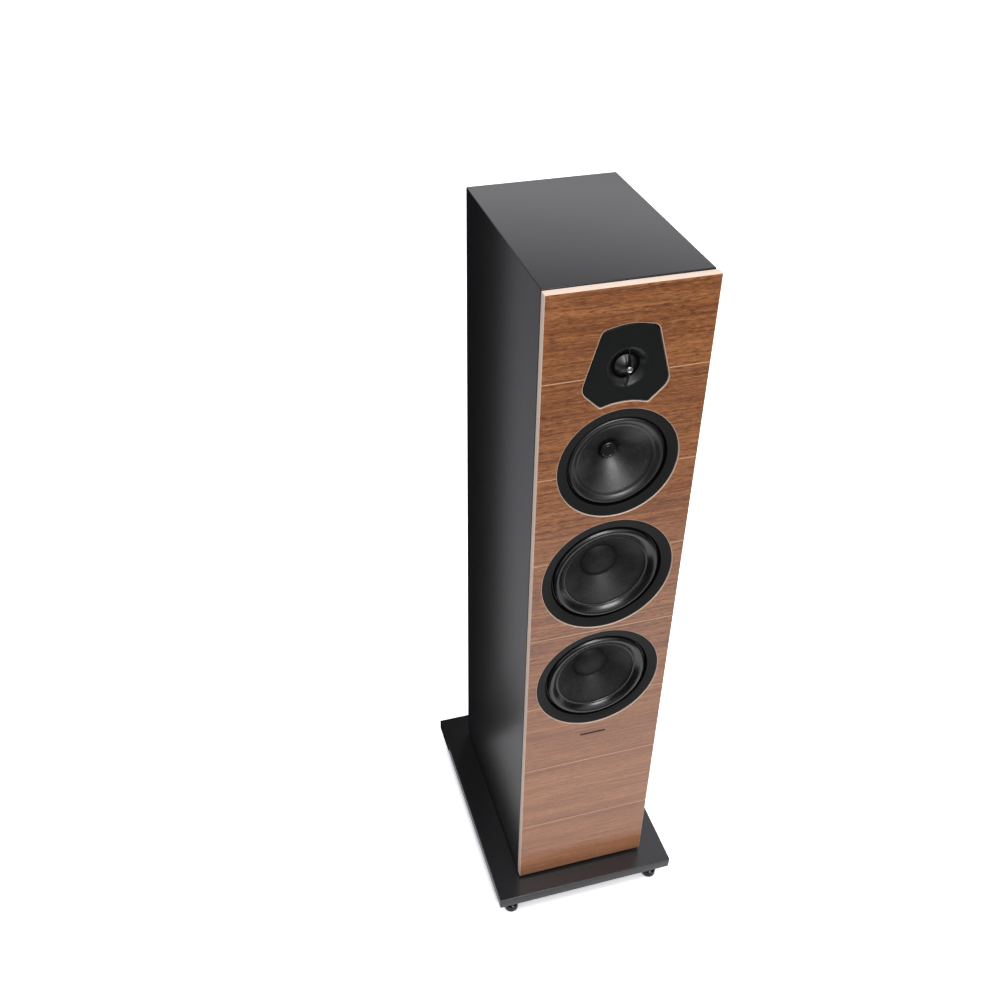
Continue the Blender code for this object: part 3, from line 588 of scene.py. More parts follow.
def woven(name, dark, light, pitch, relief, roughness=0.7, specular=0.5, sheen=0.2):
    """A plain weave in the object's XY plane, with threads at the given pitch."""
    f = Finish(name)
    x, y, _ = f.split()
    turns = 2 * math.pi / pitch
    warp = f.math("SINE", f.times(x, turns))
    weft = f.math("SINE", f.times(y, turns))
    weave = f.math("MULTIPLY_ADD", f.times(warp, weft), 0.5, 0.5)
    fuzz = f.noise(1200.0, 3.0, 0.6)
    f.colour = f.mix(weave, dark, light)
    f.cover(fuzz, 0.4, dark)
    f.bump(weave, relief, 0.6)
    return f.set(roughness=roughness, specular=specular, sheen=sheen)


# ---- metals and small materials
def metal(name, colour, roughness, turned=False, grain=0.00003):
    """Bare metal. Turned metal has fine rings about its axis, and the rest has a cast or brushed skin."""
    f = Finish(name)
    if turned:
        _, _, z = f.split()
        rings = f.join(f.times(f.radius(), 6000.0), 0.0, f.times(z, 6000.0))
        marks = f.noise(1.0, 2.0, 0.5, rings)
    else:
        marks = f.noise(900.0, 4.0, 0.6)
    tarnish = f.noise(60.0, 3.0, 0.6)
    darker = scaled(colour, 0.72)
    f.colour = colour
    f.cover(tarnish, 0.6, darker)
    f.cover(marks, 0.35, darker)
    f.bump(marks, grain, 0.4)
    gloss = f.vary(marks, roughness, 0.14)
    return f.set(roughness=gloss, metallic=1.0)


def winding(name, pitch):
    """Enamelled copper wire, wound in layers along the object's Z axis."""
    f = Finish(name)
    _, _, z = f.split()
    wire = f.math("ABSOLUTE", f.math("SINE", f.times(z, math.pi / pitch)))
    tint = f.noise((30.0, 30.0, 400.0), 2.0, 0.5)
    f.colour = f.mix(tint, (0.62, 0.22, 0.09), (0.80, 0.36, 0.17))
    # painted shade in the grooves between the turns
    f.colour = f.mix(f.below(wire, 0.0, 0.35), f.colour, (0.16, 0.05, 0.02))
    f.bump(wire, 0.00015, 0.8)
    return f.set(roughness=0.32, metallic=0.9)


def ferrite():
    f = Finish("ferrite")
    grit = f.noise(1400.0, 4.0, 0.7)
    chip = f.noise(160.0, 3.0, 0.6)
    f.colour = f.mix(grit, (0.030, 0.030, 0.033), (0.070, 0.070, 0.076))
    f.cover(f.above(chip, 0.60, 0.68), 0.4, (0.12, 0.12, 0.13))
    f.bump(grit, 0.0001, 0.6)
    return f.set(roughness=0.62, metallic=0.2)


def foam():
    f = Finish("foam_grey")
    cell = f.node("TexVoronoi", {"Vector": f.place, "Scale": 520.0}).outputs["Distance"]
    cloud = f.noise(30.0, 3.0, 0.6)
    # painted shade: darker in the hollows of the cells
    f.colour = f.mix(cell, (0.09, 0.09, 0.095), (0.24, 0.24, 0.25))
    f.cover(cloud, 0.4, (0.16, 0.16, 0.165))
    f.bump(cell, 0.0008, 0.8)
    return f.set(roughness=0.95, sheen=0.3)


def circuit_board():
    """Green solder mask with rows of copper tracks and tinned pads."""
    f = Finish("circuit_board")
    x, y, _ = f.split()
    track_x = f.math("ABSOLUTE", f.math("SINE", f.times(x, 700.0)))
    pad = f.times(track_x, f.math("ABSOLUTE", f.math("SINE", f.times(y, 500.0))))
    weave = f.noise((1500.0, 1500.0, 200.0), 2.0, 0.5)
    f.colour = f.mix(weave, (0.020, 0.085, 0.032), (0.035, 0.130, 0.050))
    f.cover(f.above(track_x, 0.86, 0.90), 0.5, (0.060, 0.210, 0.080))
    solder = f.above(pad, 0.93, 0.96)
    f.colour = f.mix(solder, f.colour, (0.70, 0.70, 0.70))
    f.bump(pad, 0.0002, 0.4)
    return f.set(roughness=0.35, metallic=f.times(solder, 0.9))


def film_capacitor():
    f = Finish("film_capacitor")
    wrap = f.noise((40.0, 900.0, 900.0), 3.0, 0.5)
    f.colour = f.mix(wrap, (0.62, 0.42, 0.06), (0.78, 0.58, 0.12))
    f.bump(wrap, 0.00005, 0.4)
    return f.set(roughness=0.30, coat=0.4, coat_roughness=0.1)


LINE_BASE = BAFFLE_LOW.z + FIRST_LINE
DOME_SHINE = {"roughness": 0.33, "specular": 1.0, "sheen": 0.0}
MATERIALS = {
    "walnut": walnut(LINE_BASE, LINE_PITCH),
    "ply": birch_ply("birch_ply_edge", FACE_Y, BAFFLE_HIGH.y - FACE_Y),
    "maple": maple(),
    "board": fibreboard("fibreboard", (0.50, 0.38, 0.25), (0.30, 0.21, 0.13)),
    "dark_board": fibreboard("stained_board", (0.012, 0.011, 0.011), (0.006, 0.006, 0.006)),
    "cabinet": satin_lacquer("cabinet_lacquer", (0.0082, 0.0078, 0.0088), 0.31, 0.36),
    "plinth": satin_lacquer("plinth_lacquer", (0.0090, 0.0090, 0.0097), 0.25, 0.85),
    "trim": moulded("trim_plastic", (0.009, 0.0092, 0.0092), 0.46, 0.20),
    "plate": moulded("plate_plastic", (0.0064, 0.0070, 0.0067), 0.42, 0.24),
    "bowl": moulded("bowl_plastic", (0.0064, 0.0068, 0.0066), 0.34, 0.46, 0.00001),
    "rear_trim": moulded("rear_plastic", (0.016, 0.016, 0.017), 0.40),
    "surround": rubber("surround_rubber", (0.0045, 0.0045, 0.0049), 0.24, 0.95),
    "mid_surround": rubber("mid_surround_rubber", (0.0090, 0.0090, 0.0094), 0.30, 0.95),
    "spacer": rubber("spacer_rubber", roughness=0.6),
    "dome": woven("dome_silk", (0.007, 0.007, 0.008), (0.016, 0.016, 0.017), 0.00035, 0.000003, **DOME_SHINE),
    "spider": woven("spider_cotton", (0.34, 0.19, 0.06), (0.62, 0.40, 0.15), 0.0008, 0.0001),
    "gloss": gloss_paint("gloss_black", (0.008, 0.008, 0.009)),
    "bridge": moulded("bridge_plastic", (0.0022, 0.0022, 0.0024), 0.30, 0.22, 0.000005),
    "foot": gloss_paint("foot_black", (0.003, 0.003, 0.0035), 0.12, 0.0),
    "knob_red": gloss_paint("knob_red", (0.46, 0.016, 0.012), 0.18),
    "chrome": metal("button_chrome", (0.70, 0.70, 0.71), 0.30, turned=True),
    "gold": metal("gold_plate", (0.86, 0.60, 0.22), 0.20, turned=True),
    "steel": metal("turned_steel", (0.56, 0.56, 0.58), 0.32, turned=True),
    "basket": moulded("cast_basket", (0.030, 0.030, 0.032), 0.50, 0.5, 0.0001),
    "badge": metal("badge_metal", (0.060, 0.040, 0.034), 0.30, grain=0.00001),
    # near black, painted into grooves and recesses as painted shade
    "recess_shade": moulded("painted_shade_black", (0.0020, 0.0020, 0.0021), 0.9, 0.05),
    "coil": winding("voice_coil_wire", 0.0003),
    "former": moulded("coil_former", (0.010, 0.009, 0.008), 0.5),
    "inductor": winding("inductor_wire", 0.0012),
    "ferrite": ferrite(),
    "foam": foam(),
    "circuit_board": circuit_board(),
    "capacitor": film_capacitor(),
    "mid_paper": cone_paper("cone_paper_mid", 0.0, 0.34, 0.80),
    "woofer_upper_paper": cone_paper("cone_paper_upper", 0.31, 0.42, 0.42),
    "woofer_lower_paper": cone_paper("cone_paper_lower", 0.62, 0.42, 0.34),
    "cap_paper": cone_paper("cap_paper", 0.93, 0.46, 0.22),
}

# CAD nodes that stay on show, with the finish each one takes
KEPT_NODES = {
    "bottom_panel": "board",
    "inner_baffle": "dark_board",
    "window_brace": "board",
    "mid_chamber": "board",
    "tweeter_motor": "ferrite",
    "plinth_spacer": "spacer",
    "crossover_board": "circuit_board",
    "crossover_inductor": "inductor",
    "crossover_capacitor": "capacitor",
    **{name + "_basket": "basket" for name in CONE_DRIVERS},
}


# ---- baffle
# The tweeter's plate, about its axis: narrow on top, widest low down and scooped out around the driver below.
SCOOP_RADIUS = 0.0860
PLATE_FOOT_X = 0.0280
PLATE_HIP = (0.0520, -0.0245)
PLATE_SHOULDER = (0.0312, 0.0478)
PLATE_CROWN = 0.0528
TWEETER_TO_MID = centre("tweeter_dome").z - centre("mid_cone").z
HOLE_GAP = 0.0004  # between a driver's trim and the edge of its hole
BAND_OUTER = 0.0007  # the pale edge band round each opening, measured out from the opening
BAND_INNER = 0.0003
BAND_DEPTH = 0.00006
PLATE_GAP = 0.0010
BAFFLE_ARRIS = 0.0007


def corner_arc(before, corner, after, radius, steps):
    """The arc that replaces a corner, tangent to both of its sides."""
    corner = Vector(corner)
    to_before = (Vector(before) - corner).normalized()
    to_after = (Vector(after) - corner).normalized()
    half = to_before.angle(to_after) / 2
    middle = corner + (to_before + to_after).normalized() * radius / math.sin(half)
    first = corner + to_before * radius / math.tan(half) - middle
    last = corner + to_after * radius / math.tan(half) - middle
    start = math.atan2(first.y, first.x)
    turn = (math.atan2(last.y, last.x) - start + math.pi) % (2 * math.pi) - math.pi
    return arc(middle, radius, math.degrees(start), math.degrees(start + turn), steps)


def plate_outline(grow=0.0):
    scoop_radius = SCOOP_RADIUS - grow
    foot_x = PLATE_FOOT_X + 0.6 * grow
    foot_angle = math.degrees(math.acos(foot_x / scoop_radius))
    scoop = arc((0.0, -TWEETER_TO_MID), scoop_radius, foot_angle, 180 - foot_angle, 30)
    hip = (PLATE_HIP[0] + 1.15 * grow, PLATE_HIP[1] - 0.25 * grow)
    shoulder = (PLATE_SHOULDER[0] + 1.1 * grow, PLATE_SHOULDER[1] + grow)
    crown = PLATE_CROWN + grow
    right = corner_arc(scoop[2], scoop[0], hip, 0.0036, 6)
    right += corner_arc(scoop[0], hip, shoulder, 0.0170, 12)
    right += corner_arc(hip, shoulder, (0.0, crown), 0.0105, 10)
    edge = right[-1]
    bow = [Vector((edge.x * (1 - 2 * i / 16), 0.0)) for i in range(1, 16)]
    for point in bow:
        share = point.x / edge.x
        point.y = crown + (edge.y - crown) * abs(share) ** 1.7
    left = [Vector((-point.x, point.y)) for point in reversed(right)]
    return right + bow + left + list(reversed(scoop[2:-2]))


def moved(loop, x, y):
    return [Vector((point[0] + x, point[1] + y)) for point in loop]


def driver_radius(name):
    return extent(name + "_trim_ring")[1].x


def baffle_openings():
    """Each opening's outline in the baffle's own frame, as a function of how much it grows."""
    openings = {}
    middle = centre("front_baffle")
    rise = centre("tweeter_dome").z - middle.z
    openings["tweeter"] = lambda grow: moved(plate_outline(grow + PLATE_GAP), 0.0, rise)
    for name in CONE_DRIVERS:
        height = centre(name + "_cone").z - middle.z
        radius = driver_radius(name) + HOLE_GAP
        openings[name] = lambda grow, r=radius, h=height: moved(circle(r + grow), 0.0, h)
    return openings


def build_baffle():
    middle, half = extent("front_baffle")
    place = front_place(0.0, FACE_Y, middle.z)
    thickness = BAFFLE_HIGH.y - FACE_Y
    outline = lambda grow: rectangle(half.x + grow, half.z + grow, 0.0009)
    edges = [both_edges(outline, 0.0, -thickness, BAFFLE_ARRIS)]
    openings = baffle_openings()
    for opening in openings.values():
        band = [(opening(BAND_OUTER), 0.0), (opening(BAND_INNER), -BAND_DEPTH)]
        edges.append(band + edge_rings(opening, -BAND_DEPTH, -thickness, BAND_INNER - 0.0001, inward=True))
    baffle = sheet("baffle_board", edges, place)
    settle(baffle, place)
    fit(baffle, "walnut_veneer", "walnut", "front_baffle")
    paint_faces(baffle, "ply", lambda spot, normal: normal.y > -0.9995)
    return openings


def clear_spans(openings, height, margin=0.0002):
    """The stretches of a level line across the baffle that no opening crosses."""
    half = BAFFLE_HIGH.x
    spans = [(-half, half)]
    for opening in openings.values():
        loop = opening(BAND_OUTER)
        crossings = []
        for first, second in zip(loop, loop[1:] + loop[:1]):
            if (first.y - height) * (second.y - height) < 0:
                share = (height - first.y) / (second.y - first.y)
                crossings.append(first.x + (second.x - first.x) * share)
        if crossings:
            low, high = min(crossings) - margin, max(crossings) + margin
            sides = [side for start, end in spans for side in ((start, low), (high, end))]
            spans = [side for side in sides if side[0] < side[1]]
    return spans


def build_inlays(openings):
    """Thin maple lines let into the veneer, a hair proud of it."""
    width, proud, depth = 0.0009, 0.00006, 0.0012
    middle = centre("front_baffle").z
    for number in range(LINE_COUNT):
        height = LINE_BASE + number * LINE_PITCH
        for side, (start, end) in zip("ab", clear_spans(openings, height - middle)):
            low = (start, FACE_Y - proud, height - width / 2)
            high = (end, FACE_Y + depth, height + width / 2)
            line = block(f"inlay_line_{number + 1}{side}", low, high, 0.00005, 1)
            fit(line, "walnut_veneer", "maple")


def build_badge():
    """A plain slim bar under the lower woofer."""
    height, half_width, half_height, rise = 0.3587, 0.0185, 0.0011, 0.0008
    place = front_place(0.0, FACE_Y, height)
    outline = lambda grow: rectangle(half_width + grow, half_height + grow, half_height + grow - 0.00001, 6)
    badge = loft("baffle_badge", edge_rings(outline, rise, -0.0005, 0.0004), place)
    fit(badge, "gloss_black", "badge")


# ---- cabinet
WRAP_RADIUS = 0.0015


def wrap_outline(grow):
    """The cabinet's section seen from the front: two sides and a top, open underneath."""
    half = extent("cabinet_wrap")[1]
    half_x, half_z = half.x + grow, half.z + grow
    inner_x = half_x - BOARD - 2 * grow
    inner_top = half_z - BOARD - 2 * grow
    radius = WRAP_RADIUS
    points = arc((half_x - radius, half_z - radius), radius, 0, 90, 5)
    points += arc((-half_x + radius, half_z - radius), radius, 90, 180, 5)
    points += arc((-half_x + radius, -half_z + radius), radius, 180, 270, 5)
    points += [Vector((-inner_x, -half_z)), Vector((-inner_x, inner_top))]
    points += [Vector((inner_x, inner_top)), Vector((inner_x, -half_z))]
    points += arc((half_x - radius, -half_z + radius), radius, 270, 360, 5)
    return points


def build_cabinet():
    place = front_place(0.0, WRAP_LOW.y, centre("cabinet_wrap").z)
    rings = both_edges(wrap_outline, 0.0, WRAP_LOW.y - WRAP_HIGH.y, WRAP_RADIUS - 0.0001, steps=5)
    shell = sheet("cabinet_shell", [rings], place)
    settle(shell, place)
    fit(shell, "cabinet_black", "cabinet", "cabinet_wrap")

    middle, half = extent("back_panel")
    back_place = rear_place(0.0, BACK_HIGH.y, middle.z)
    outline = lambda grow: rectangle(half.x + grow, half.z + grow, 0.0010)
    # in this frame +Y points down
    port_drop = middle.z - centre("port_tube").z
    dish_drop = middle.z - centre("terminal_plate").z
    port_hole = lambda grow: moved(circle(0.0336 + grow), 0.0, port_drop)
    pocket = lambda grow: moved(rectangle(0.053 + grow, 0.041 + grow, 0.001), 0.0, dish_drop)
    edges = [both_edges(outline, 0.0, -2 * half.y, 0.0008)]
    edges += [edge_rings(hole, 0.0, -2 * half.y, 0.0005, inward=True) for hole in (port_hole, pocket)]
    panel = sheet("rear_panel", edges, back_place)
    settle(panel, back_place)
    fit(panel, "cabinet_black", "cabinet", "back_panel")


def build_damping_mat():
    """Egg-crate foam inside the back panel: a flat sheet with rows of soft peaks towards the drivers."""
    low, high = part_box("damping_mat")
    size = high - low
    peak_pitch, relief, points_per_peak = 0.030, 0.0090, 8
    turn = 2 * math.pi / points_per_peak
    columns = round(size.x / peak_pitch) * points_per_peak
    rows = round(size.z / peak_pitch) * points_per_peak
    verts, faces = [], []
    for row in range(rows + 1):
        for column in range(columns + 1):
            depth = relief * (1 - math.cos(turn * column) * math.cos(turn * row)) / 2
            verts.append((low.x + size.x * column / columns, low.y + depth, low.z + size.z * row / rows))
    width = columns + 1
    for row in range(rows):
        for column in range(columns):
            first = row * width + column
            faces.append((first, first + 1, first + 1 + width, first + width))
    rim = list(range(columns)) + [row * width + columns for row in range(rows)]
    rim += [rows * width + column for column in range(columns, 0, -1)]
    rim += [row * width for row in range(rows, 0, -1)]
    start, count = len(verts), len(rim)
    verts += [(verts[index][0], high.y, verts[index][2]) for index in rim]
    for i in range(count):
        k = (i + 1) % count
        faces.append((rim[i], rim[k], start + k, start + i))
    faces.append([start + i for i in range(count)])
    mat = mesh_piece("egg_crate_foam", verts, faces, Matrix.Identity(4))
    fit(mat, "foam_grey", "foam", "damping_mat")


def build_port():
    port = centre("port_tube")
    place = rear_place(port.x, BACK_HIGH.y, port.z)
    bore, flare_width, flare_depth, mouth = 0.0270, 0.0105, 0.0260, 0.0022
    flare = [(bore + flare_width * drop, mouth - flare_depth * inset) for inset, drop in quarter(12)]
    flange = [(0.0415, 0.0025, 0.0012), (0.0430, 0.0014, 0.0006), (0.0430, 0.0003, 0.0002), (0.0332, 0.0003)]
    barrel = [(0.0300, -0.0160), (0.0300, -0.1200), (bore, -0.1200)]
    tube = lathe("reflex_port", rounded(flange + barrel + flare), place)
    fit(tube, "trim_black", "rear_trim", "port_tube")


# ---- terminals
def thread_depth(angle, height, pitch, depth):
    """How far the surface of a screw thread lies under its crest."""
    turn = (height / pitch - angle / (2 * math.pi)) % 1.0
    return depth * abs(2 * turn - 1)


def hexagon(angle, corner_radius):
    """The distance from a hexagon's centre to its edge."""
    return corner_radius * math.cos(math.pi / 6) / math.cos(angle % (math.pi / 3) - math.pi / 6)


def build_terminal_dish():
    """The rear dish: a flange with round corners, sloping walls and a flat floor that holds the two posts."""
    low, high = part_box("terminal_plate")
    middle, half = extent("terminal_plate")
    rim, wall, corner = 0.0030, 0.0030, 0.0040
    face = high.y - rim
    depth = face - low.y
    floor = wall - depth
    arris, lip, sole = 0.0009, 0.0012, 0.0020
    flange, cup = (half.x, half.z), (0.0520, 0.0400)
    pocket = (cup[0] - wall, cup[1] - wall)

    def ring(size, grow, round_off, height):
        return rectangle(size[0] + grow, size[1] + grow, corner + round_off, 6), height

    rings = [ring(cup, -0.001, 0.0, -depth), ring(cup, 0.0, 0.0, 0.001 - depth), ring(cup, 0.0, 0.0, 0.0)]
    rings.append(ring(flange, 0.0, 0.0, 0.0))
    turns = quarter(4)
    rings += [ring(flange, -arris * b, -arris * b, rim - arris * a) for a, b in turns]
    rings += [ring(pocket, lip * a, lip * a, rim - lip * b) for a, b in turns]
    rings += [ring(pocket, -sole * b, -0.5 * sole * b, floor + sole * a) for a, b in turns]
    dish = loft("terminal_dish", rings, rear_place(middle.x, face, middle.z))
    fit(dish, "trim_black", "rear_trim", "terminal_plate")


def build_screw(name, place):
    """A black button-head socket screw, whose underside is at the place's origin."""
    radius, socket = 0.0026, 0.0012
    height = 0.45 * radius
    shape = lambda angle, r, h: hexagon(angle, r) if 0.9 * socket < r < 1.1 * socket else r
    head = [(radius * 0.62, height, 0.0006), (radius, height * 0.35, 0.0004), (radius, -0.0004)]
    hole = [(0.0, height * 0.2), (socket, height * 0.2), (socket, height)]
    profile = hole + rounded(head, False) + [(0.0, -0.0004)]
    screw = lathe(name, profile, place, SMALL_STEPS, closed=False, shape=shape)
    fit(screw, "steel", "basket")


def build_terminal(colour):
    middle, half = extent("terminal_post_" + colour)
    place = rear_place(middle.x, middle.y - half.y - 0.0003, middle.z)

    def thread(angle, radius, height):
        threaded = 0.0035 < height < 0.0240 and radius >= 0.0025
        return radius - thread_depth(angle, height, 0.0010, 0.00035) if threaded else radius

    shaft = [(0.0031, 0.0245 - 0.0213 * share) for share in shares(84)]
    base = [(0.0072, 0.0030), (0.0075, 0.0027), (0.0075, 0.0003), (0.0, 0.0003)]
    post = lathe("binding_post_" + colour, [(0.0, 0.0245), *shaft, *base], place, SMALL_STEPS, False, thread)
    fit(post, "gold_plate", "gold", "terminal_post_" + colour)

    ring = rounded([(0.0034, 0.0059), (0.0065, 0.0059, 0.0004), (0.0065, 0.0034, 0.0004), (0.0034, 0.0034)])
    collar = lathe("binding_collar_" + colour, ring, place, SMALL_STEPS)
    fit(collar, "gold_plate", "gold", "terminal_collar_" + colour, body=f"terminal_collar_{colour}_body")

    def flutes(angle, radius, height):
        cut = 0.0006 * (0.5 + 0.5 * math.cos(angle * KNOB_FLUTES)) ** 2
        return radius - cut if radius >= 0.0080 else radius

    cap = [(0.0034, 0.0214), (0.0062, 0.0214, 0.0003), (0.0070, 0.0208, 0.0003), (0.0085, 0.0200, 0.0010)]
    skirt = [(0.0085, 0.0085, 0.0006), (0.0078, 0.0078, 0.0004), (0.0078, 0.0062, 0.0003), (0.0034, 0.0062)]
    knob = lathe("binding_knob_" + colour, rounded(cap + skirt), place, KNOB_FLUTES * 10, shape=flutes)
    slot, finish = ("knob_red", "knob_red") if colour == "red" else ("gloss_black", "gloss")
    fit(knob, slot, finish, "terminal_knob_" + colour, body=f"terminal_knob_{colour}_body")


def build_terminals():
    build_terminal_dish()
    for colour in COLOURS:
        build_terminal(colour)
    middle, half = extent("terminal_plate")
    inset = 0.0045
    for number, (side_x, side_z) in enumerate(((-1, -1), (1, -1), (-1, 1), (1, 1))):
        x, z = side_x * (half.x - inset), middle.z + side_z * (half.z - inset)
        build_screw(f"terminal_screw_{number + 1}", rear_place(x, middle.y + half.y, z))


# ---- cone drivers
FLANGE_Z = -0.0093
SURROUND_Z = -0.0080
ROLL_LEAN = 0.62  # below 1 the roll's crest leans to its outer edge
COIL_WALL = 0.0008
WOOFER = {
    "ring_inner": 0.0732,
    "ring_dish": 0.0030,
    "roll_outer": 0.0700,
    "roll_inner": 0.0565,
    "roll_rise": 0.0058,
    "bead": 0.0005,  # rubber bead where the cone is glued on
    "cap_radius": 0.0245,
    "cap_rise": 0.0070,
    "neck_z": -0.0360,
    "coil_radius": 0.0190,
    "coil_end_z": -0.0720,
    "spider_z": -0.0480,
    "spider_radius": 0.0470,
    "rear_z": -0.0580,
}
MID = {
    "ring_inner": 0.0625,
    "ring_dish": 0.0025,
    "roll_outer": 0.0597,
    "roll_inner": 0.0497,
    "roll_rise": 0.0032,
    "bead": 0.0,
    "plug_radius": 0.0108,
    "plug_face_z": -0.0295,
    "neck_z": -0.0340,
    "coil_radius": 0.0116,
    "coil_end_z": -0.0600,
    "spider_z": -0.0420,
    "spider_radius": 0.0360,
    "rear_z": -0.0500,
}


def cone_height(driver, radius):
    neck = driver["coil_radius"] + COIL_WALL
    share = (radius - neck) / (driver["roll_inner"] - neck)
    return driver["neck_z"] + (FLANGE_Z - driver["neck_z"]) * share**0.85


def build_trim_ring(name, driver, place):
    """A satin ring, dished towards the cone, with crisp round arrises."""
    outer, inner = driver_radius(name), driver["ring_inner"]
    rim = -0.0010
    low = rim - driver["ring_dish"]
    dish = [(inner, low, 0.0004), (inner + 0.35 * (outer - inner), low + 0.42 * driver["ring_dish"], 0.004)]
    arris = [(outer - 0.0005, rim, 0.0010), (outer, rim - 0.0005, 0.0003)]
    ring = lathe(name + "_ring", rounded(dish + arris + [(outer, -0.0077), (inner, -0.0077)]), place)
    fit(ring, "trim_black", "trim", name + "_trim_ring")
    # painted shade: the ring's inner wall below its dish goes near black, the dark groove round the surround
    wall_radius, wall_top = inner + 0.0001, low - 0.0003
    paint_faces(ring, "recess_shade", lambda spot, normal: spot.xy.length < wall_radius and spot.z < wall_top)


def roll_profile(driver, steps=18):
    """The surround's section: a glued outer edge, the half roll, and the lip that holds the cone."""
    outer, inner, rise = driver["roll_outer"], driver["roll_inner"], driver["roll_rise"]
    wall = 0.0008
    upper = []
    for step in shares(steps):
        share = (1 - math.cos(math.pi * step)) / 2
        crest = math.sin(math.pi * (1 - share) ** ROLL_LEAN)
        upper.append((inner + (outer - inner) * share, SURROUND_Z + rise * crest**0.85))
    if driver["bead"]:
        crest = SURROUND_Z + driver["bead"]
        lip = [(inner - 0.0030, SURROUND_Z - 0.0004), (inner - 0.0025, crest - 0.0001)]
        lip += [(inner - 0.0018, crest), (inner - 0.0010, crest - 0.0003), (inner - 0.0004, SURROUND_Z)]
    else:
        lip = [(inner - 0.0030, SURROUND_Z - 0.0009), (inner - 0.0012, SURROUND_Z - 0.0003)]
        lip += [(inner - 0.0004, SURROUND_Z)]
    edge = [(outer + 0.0004, SURROUND_Z), (outer + 0.0070, SURROUND_Z)]
    lower = [(radius, height - wall) for radius, height in reversed(upper)]
    back = SURROUND_Z - 0.0010
    return lip + upper + edge + [(outer + 0.0070, back)] + lower + [(inner - 0.0030, back)]


def blend_radially(obj):
    """Moves a ring's place into its mesh."""
    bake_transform(obj)


def build_surround(name, driver, place):
    surround = lathe(name + "_roll", roll_profile(driver), place)
    surround.data.materials.append(MATERIALS["mid_surround" if name == "mid" else "surround"])
    # painted shade: the glued outer edge, down in the groove under the trim ring, goes near black
    paint_faces(surround, "recess_shade", lambda spot, normal: spot.xy.length > driver["roll_outer"] + 0.0002)
    blend_radially(surround)
    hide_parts(name + "_surround")


def build_spider(name, driver, place):
    """The corrugated centring disc between the coil and the basket."""
    inner = driver["coil_radius"] + COIL_WALL + 0.0003
    outer = driver["spider_radius"]
    waves, steps, wave, wall = 5, 60, 0.0011, 0.0005
    upper = []
    for share in shares(steps):
        fade = min(1.0, 8 * share, 8 * (1 - share))
        lift = wave * 0.5 * (1 - math.cos(2 * math.pi * waves * share)) * fade
        upper.append((inner + (outer - inner) * share, driver["spider_z"] + lift))
    lower = [(radius, height - wall) for radius, height in reversed(upper)]
    spider = lathe(name + "_centring_disc", upper + lower, place, 96)
    spider.data.materials.append(MATERIALS["spider"])
    blend_radially(spider)
    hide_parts(name + "_spider")


def build_cone(name, driver, place, body):
    neck = driver["coil_radius"] + COIL_WALL + 0.0003
    lip = driver["roll_inner"] + 0.0001
    steps, wall = 20, 0.0011
    front = []
    for share in shares(steps):
        radius = neck + (lip - 0.0026 - neck) * share
        front.append((radius, cone_height(driver, radius) - 0.0003))
    edge = front[-1][1]
    front += [(lip - 0.0012, min(FLANGE_Z, edge + 0.0007)), (lip, FLANGE_Z)]
    back = [(radius, height - wall) for radius, height in reversed(front)]
    cone = lathe(name + "_paper_cone", front + back, place)
    fit(cone, "cone_paper", name + "_paper", name + "_cone", body=body)


def build_dust_cap(name, driver, place, body):
    radius, rise = driver["cap_radius"], driver["cap_rise"]
    base = cone_height(driver, radius) + 0.0003
    wall, steps = 0.0008, 16
    front, back = [], []
    for step in shares(steps):
        share = math.sin(math.pi / 2 * step)
        dome = 1 - share**3.2
        front.append((radius * share, base + rise * dome))
        back.append((radius * share * 0.965, base + (rise - wall) * dome - 0.0001))
    cap = lathe(name + "_centre_cap", front + list(reversed(back)), place, closed=False)
    fit(cap, "cone_paper", "cap_paper", name + "_dust_cap", body=body)


def build_phase_plug(name, driver, place):
    """A gloss bullet with a shallow ring turned into its face."""
    radius, face = driver["plug_radius"], driver["plug_face_z"]
    groove, width, depth = 0.0070, 0.0005, 0.0003
    profile = [(0.0, face), (groove - width, face), (groove - 0.5 * width, face - depth)]
    profile += [(groove + 0.5 * width, face - depth), (groove + width, face)]
    profile += [(radius - 0.0024 * inset, face - 0.0022 * drop) for inset, drop in quarter(8)]
    profile += [(radius, driver["rear_z"] + 0.0003), (0.0, driver["rear_z"] + 0.0003)]
    plug = lathe(name + "_plug", profile, place, closed=False, sharp=math.radians(25))
    fit(plug, "gloss_black", "gloss", name + "_phase_plug")


def build_coil(name, driver, place, body):
    """The voice coil's former, with the winding standing proud of it near its rear end."""
    inner, top, bottom = driver["coil_radius"], driver["neck_z"], driver["coil_end_z"]
    tube, outer = inner + 0.0003, inner + COIL_WALL
    profile = [(inner, top), (tube, top), (tube, bottom + 0.0140), (outer, bottom + 0.0138)]
    profile += [(outer, bottom + 0.0010), (tube, bottom + 0.0008), (tube, bottom), (inner, bottom)]
    coil = lathe(name + "_winding", profile, place, 96)
    fit(coil, "coil_copper", "coil", name + "_voice_coil", body=body)
    paint_faces(coil, "former", lambda spot, normal: spot.z > bottom + 0.0139)


def build_motor(name, driver, place):
    """Ferrite ring and steel yoke, with the arrises broken."""
    low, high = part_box(name + "_magnet")
    front, back = FACE_Y - low.y, FACE_Y - high.y
    outer = (high.x - low.x) / 2
    hole = driver["coil_radius"] + 0.0070
    ring = [(hole, front), (outer, front, 0.0012), (outer, back, 0.0012), (hole, back)]
    magnet = lathe(name + "_ferrite_ring", rounded(ring), place, 96)
    fit(magnet, "ferrite", "ferrite", name + "_magnet")

    low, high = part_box(name + "_yoke")
    pole_top, plate_back = FACE_Y - low.y, FACE_Y - high.y
    pole, plate = hole - 0.0076, outer - 0.0030
    plate_front = back - 0.0003
    post = [(0.0, pole_top), (pole, pole_top, 0.0004), (pole, plate_front, 0.0005)]
    disc = [(plate, plate_front, 0.0008), (plate, plate_back, 0.0015), (0.0, plate_back)]
    yoke = lathe(name + "_steel_yoke", rounded(post + disc, False), place, 96, closed=False)
    fit(yoke, "steel", "steel", name + "_yoke")


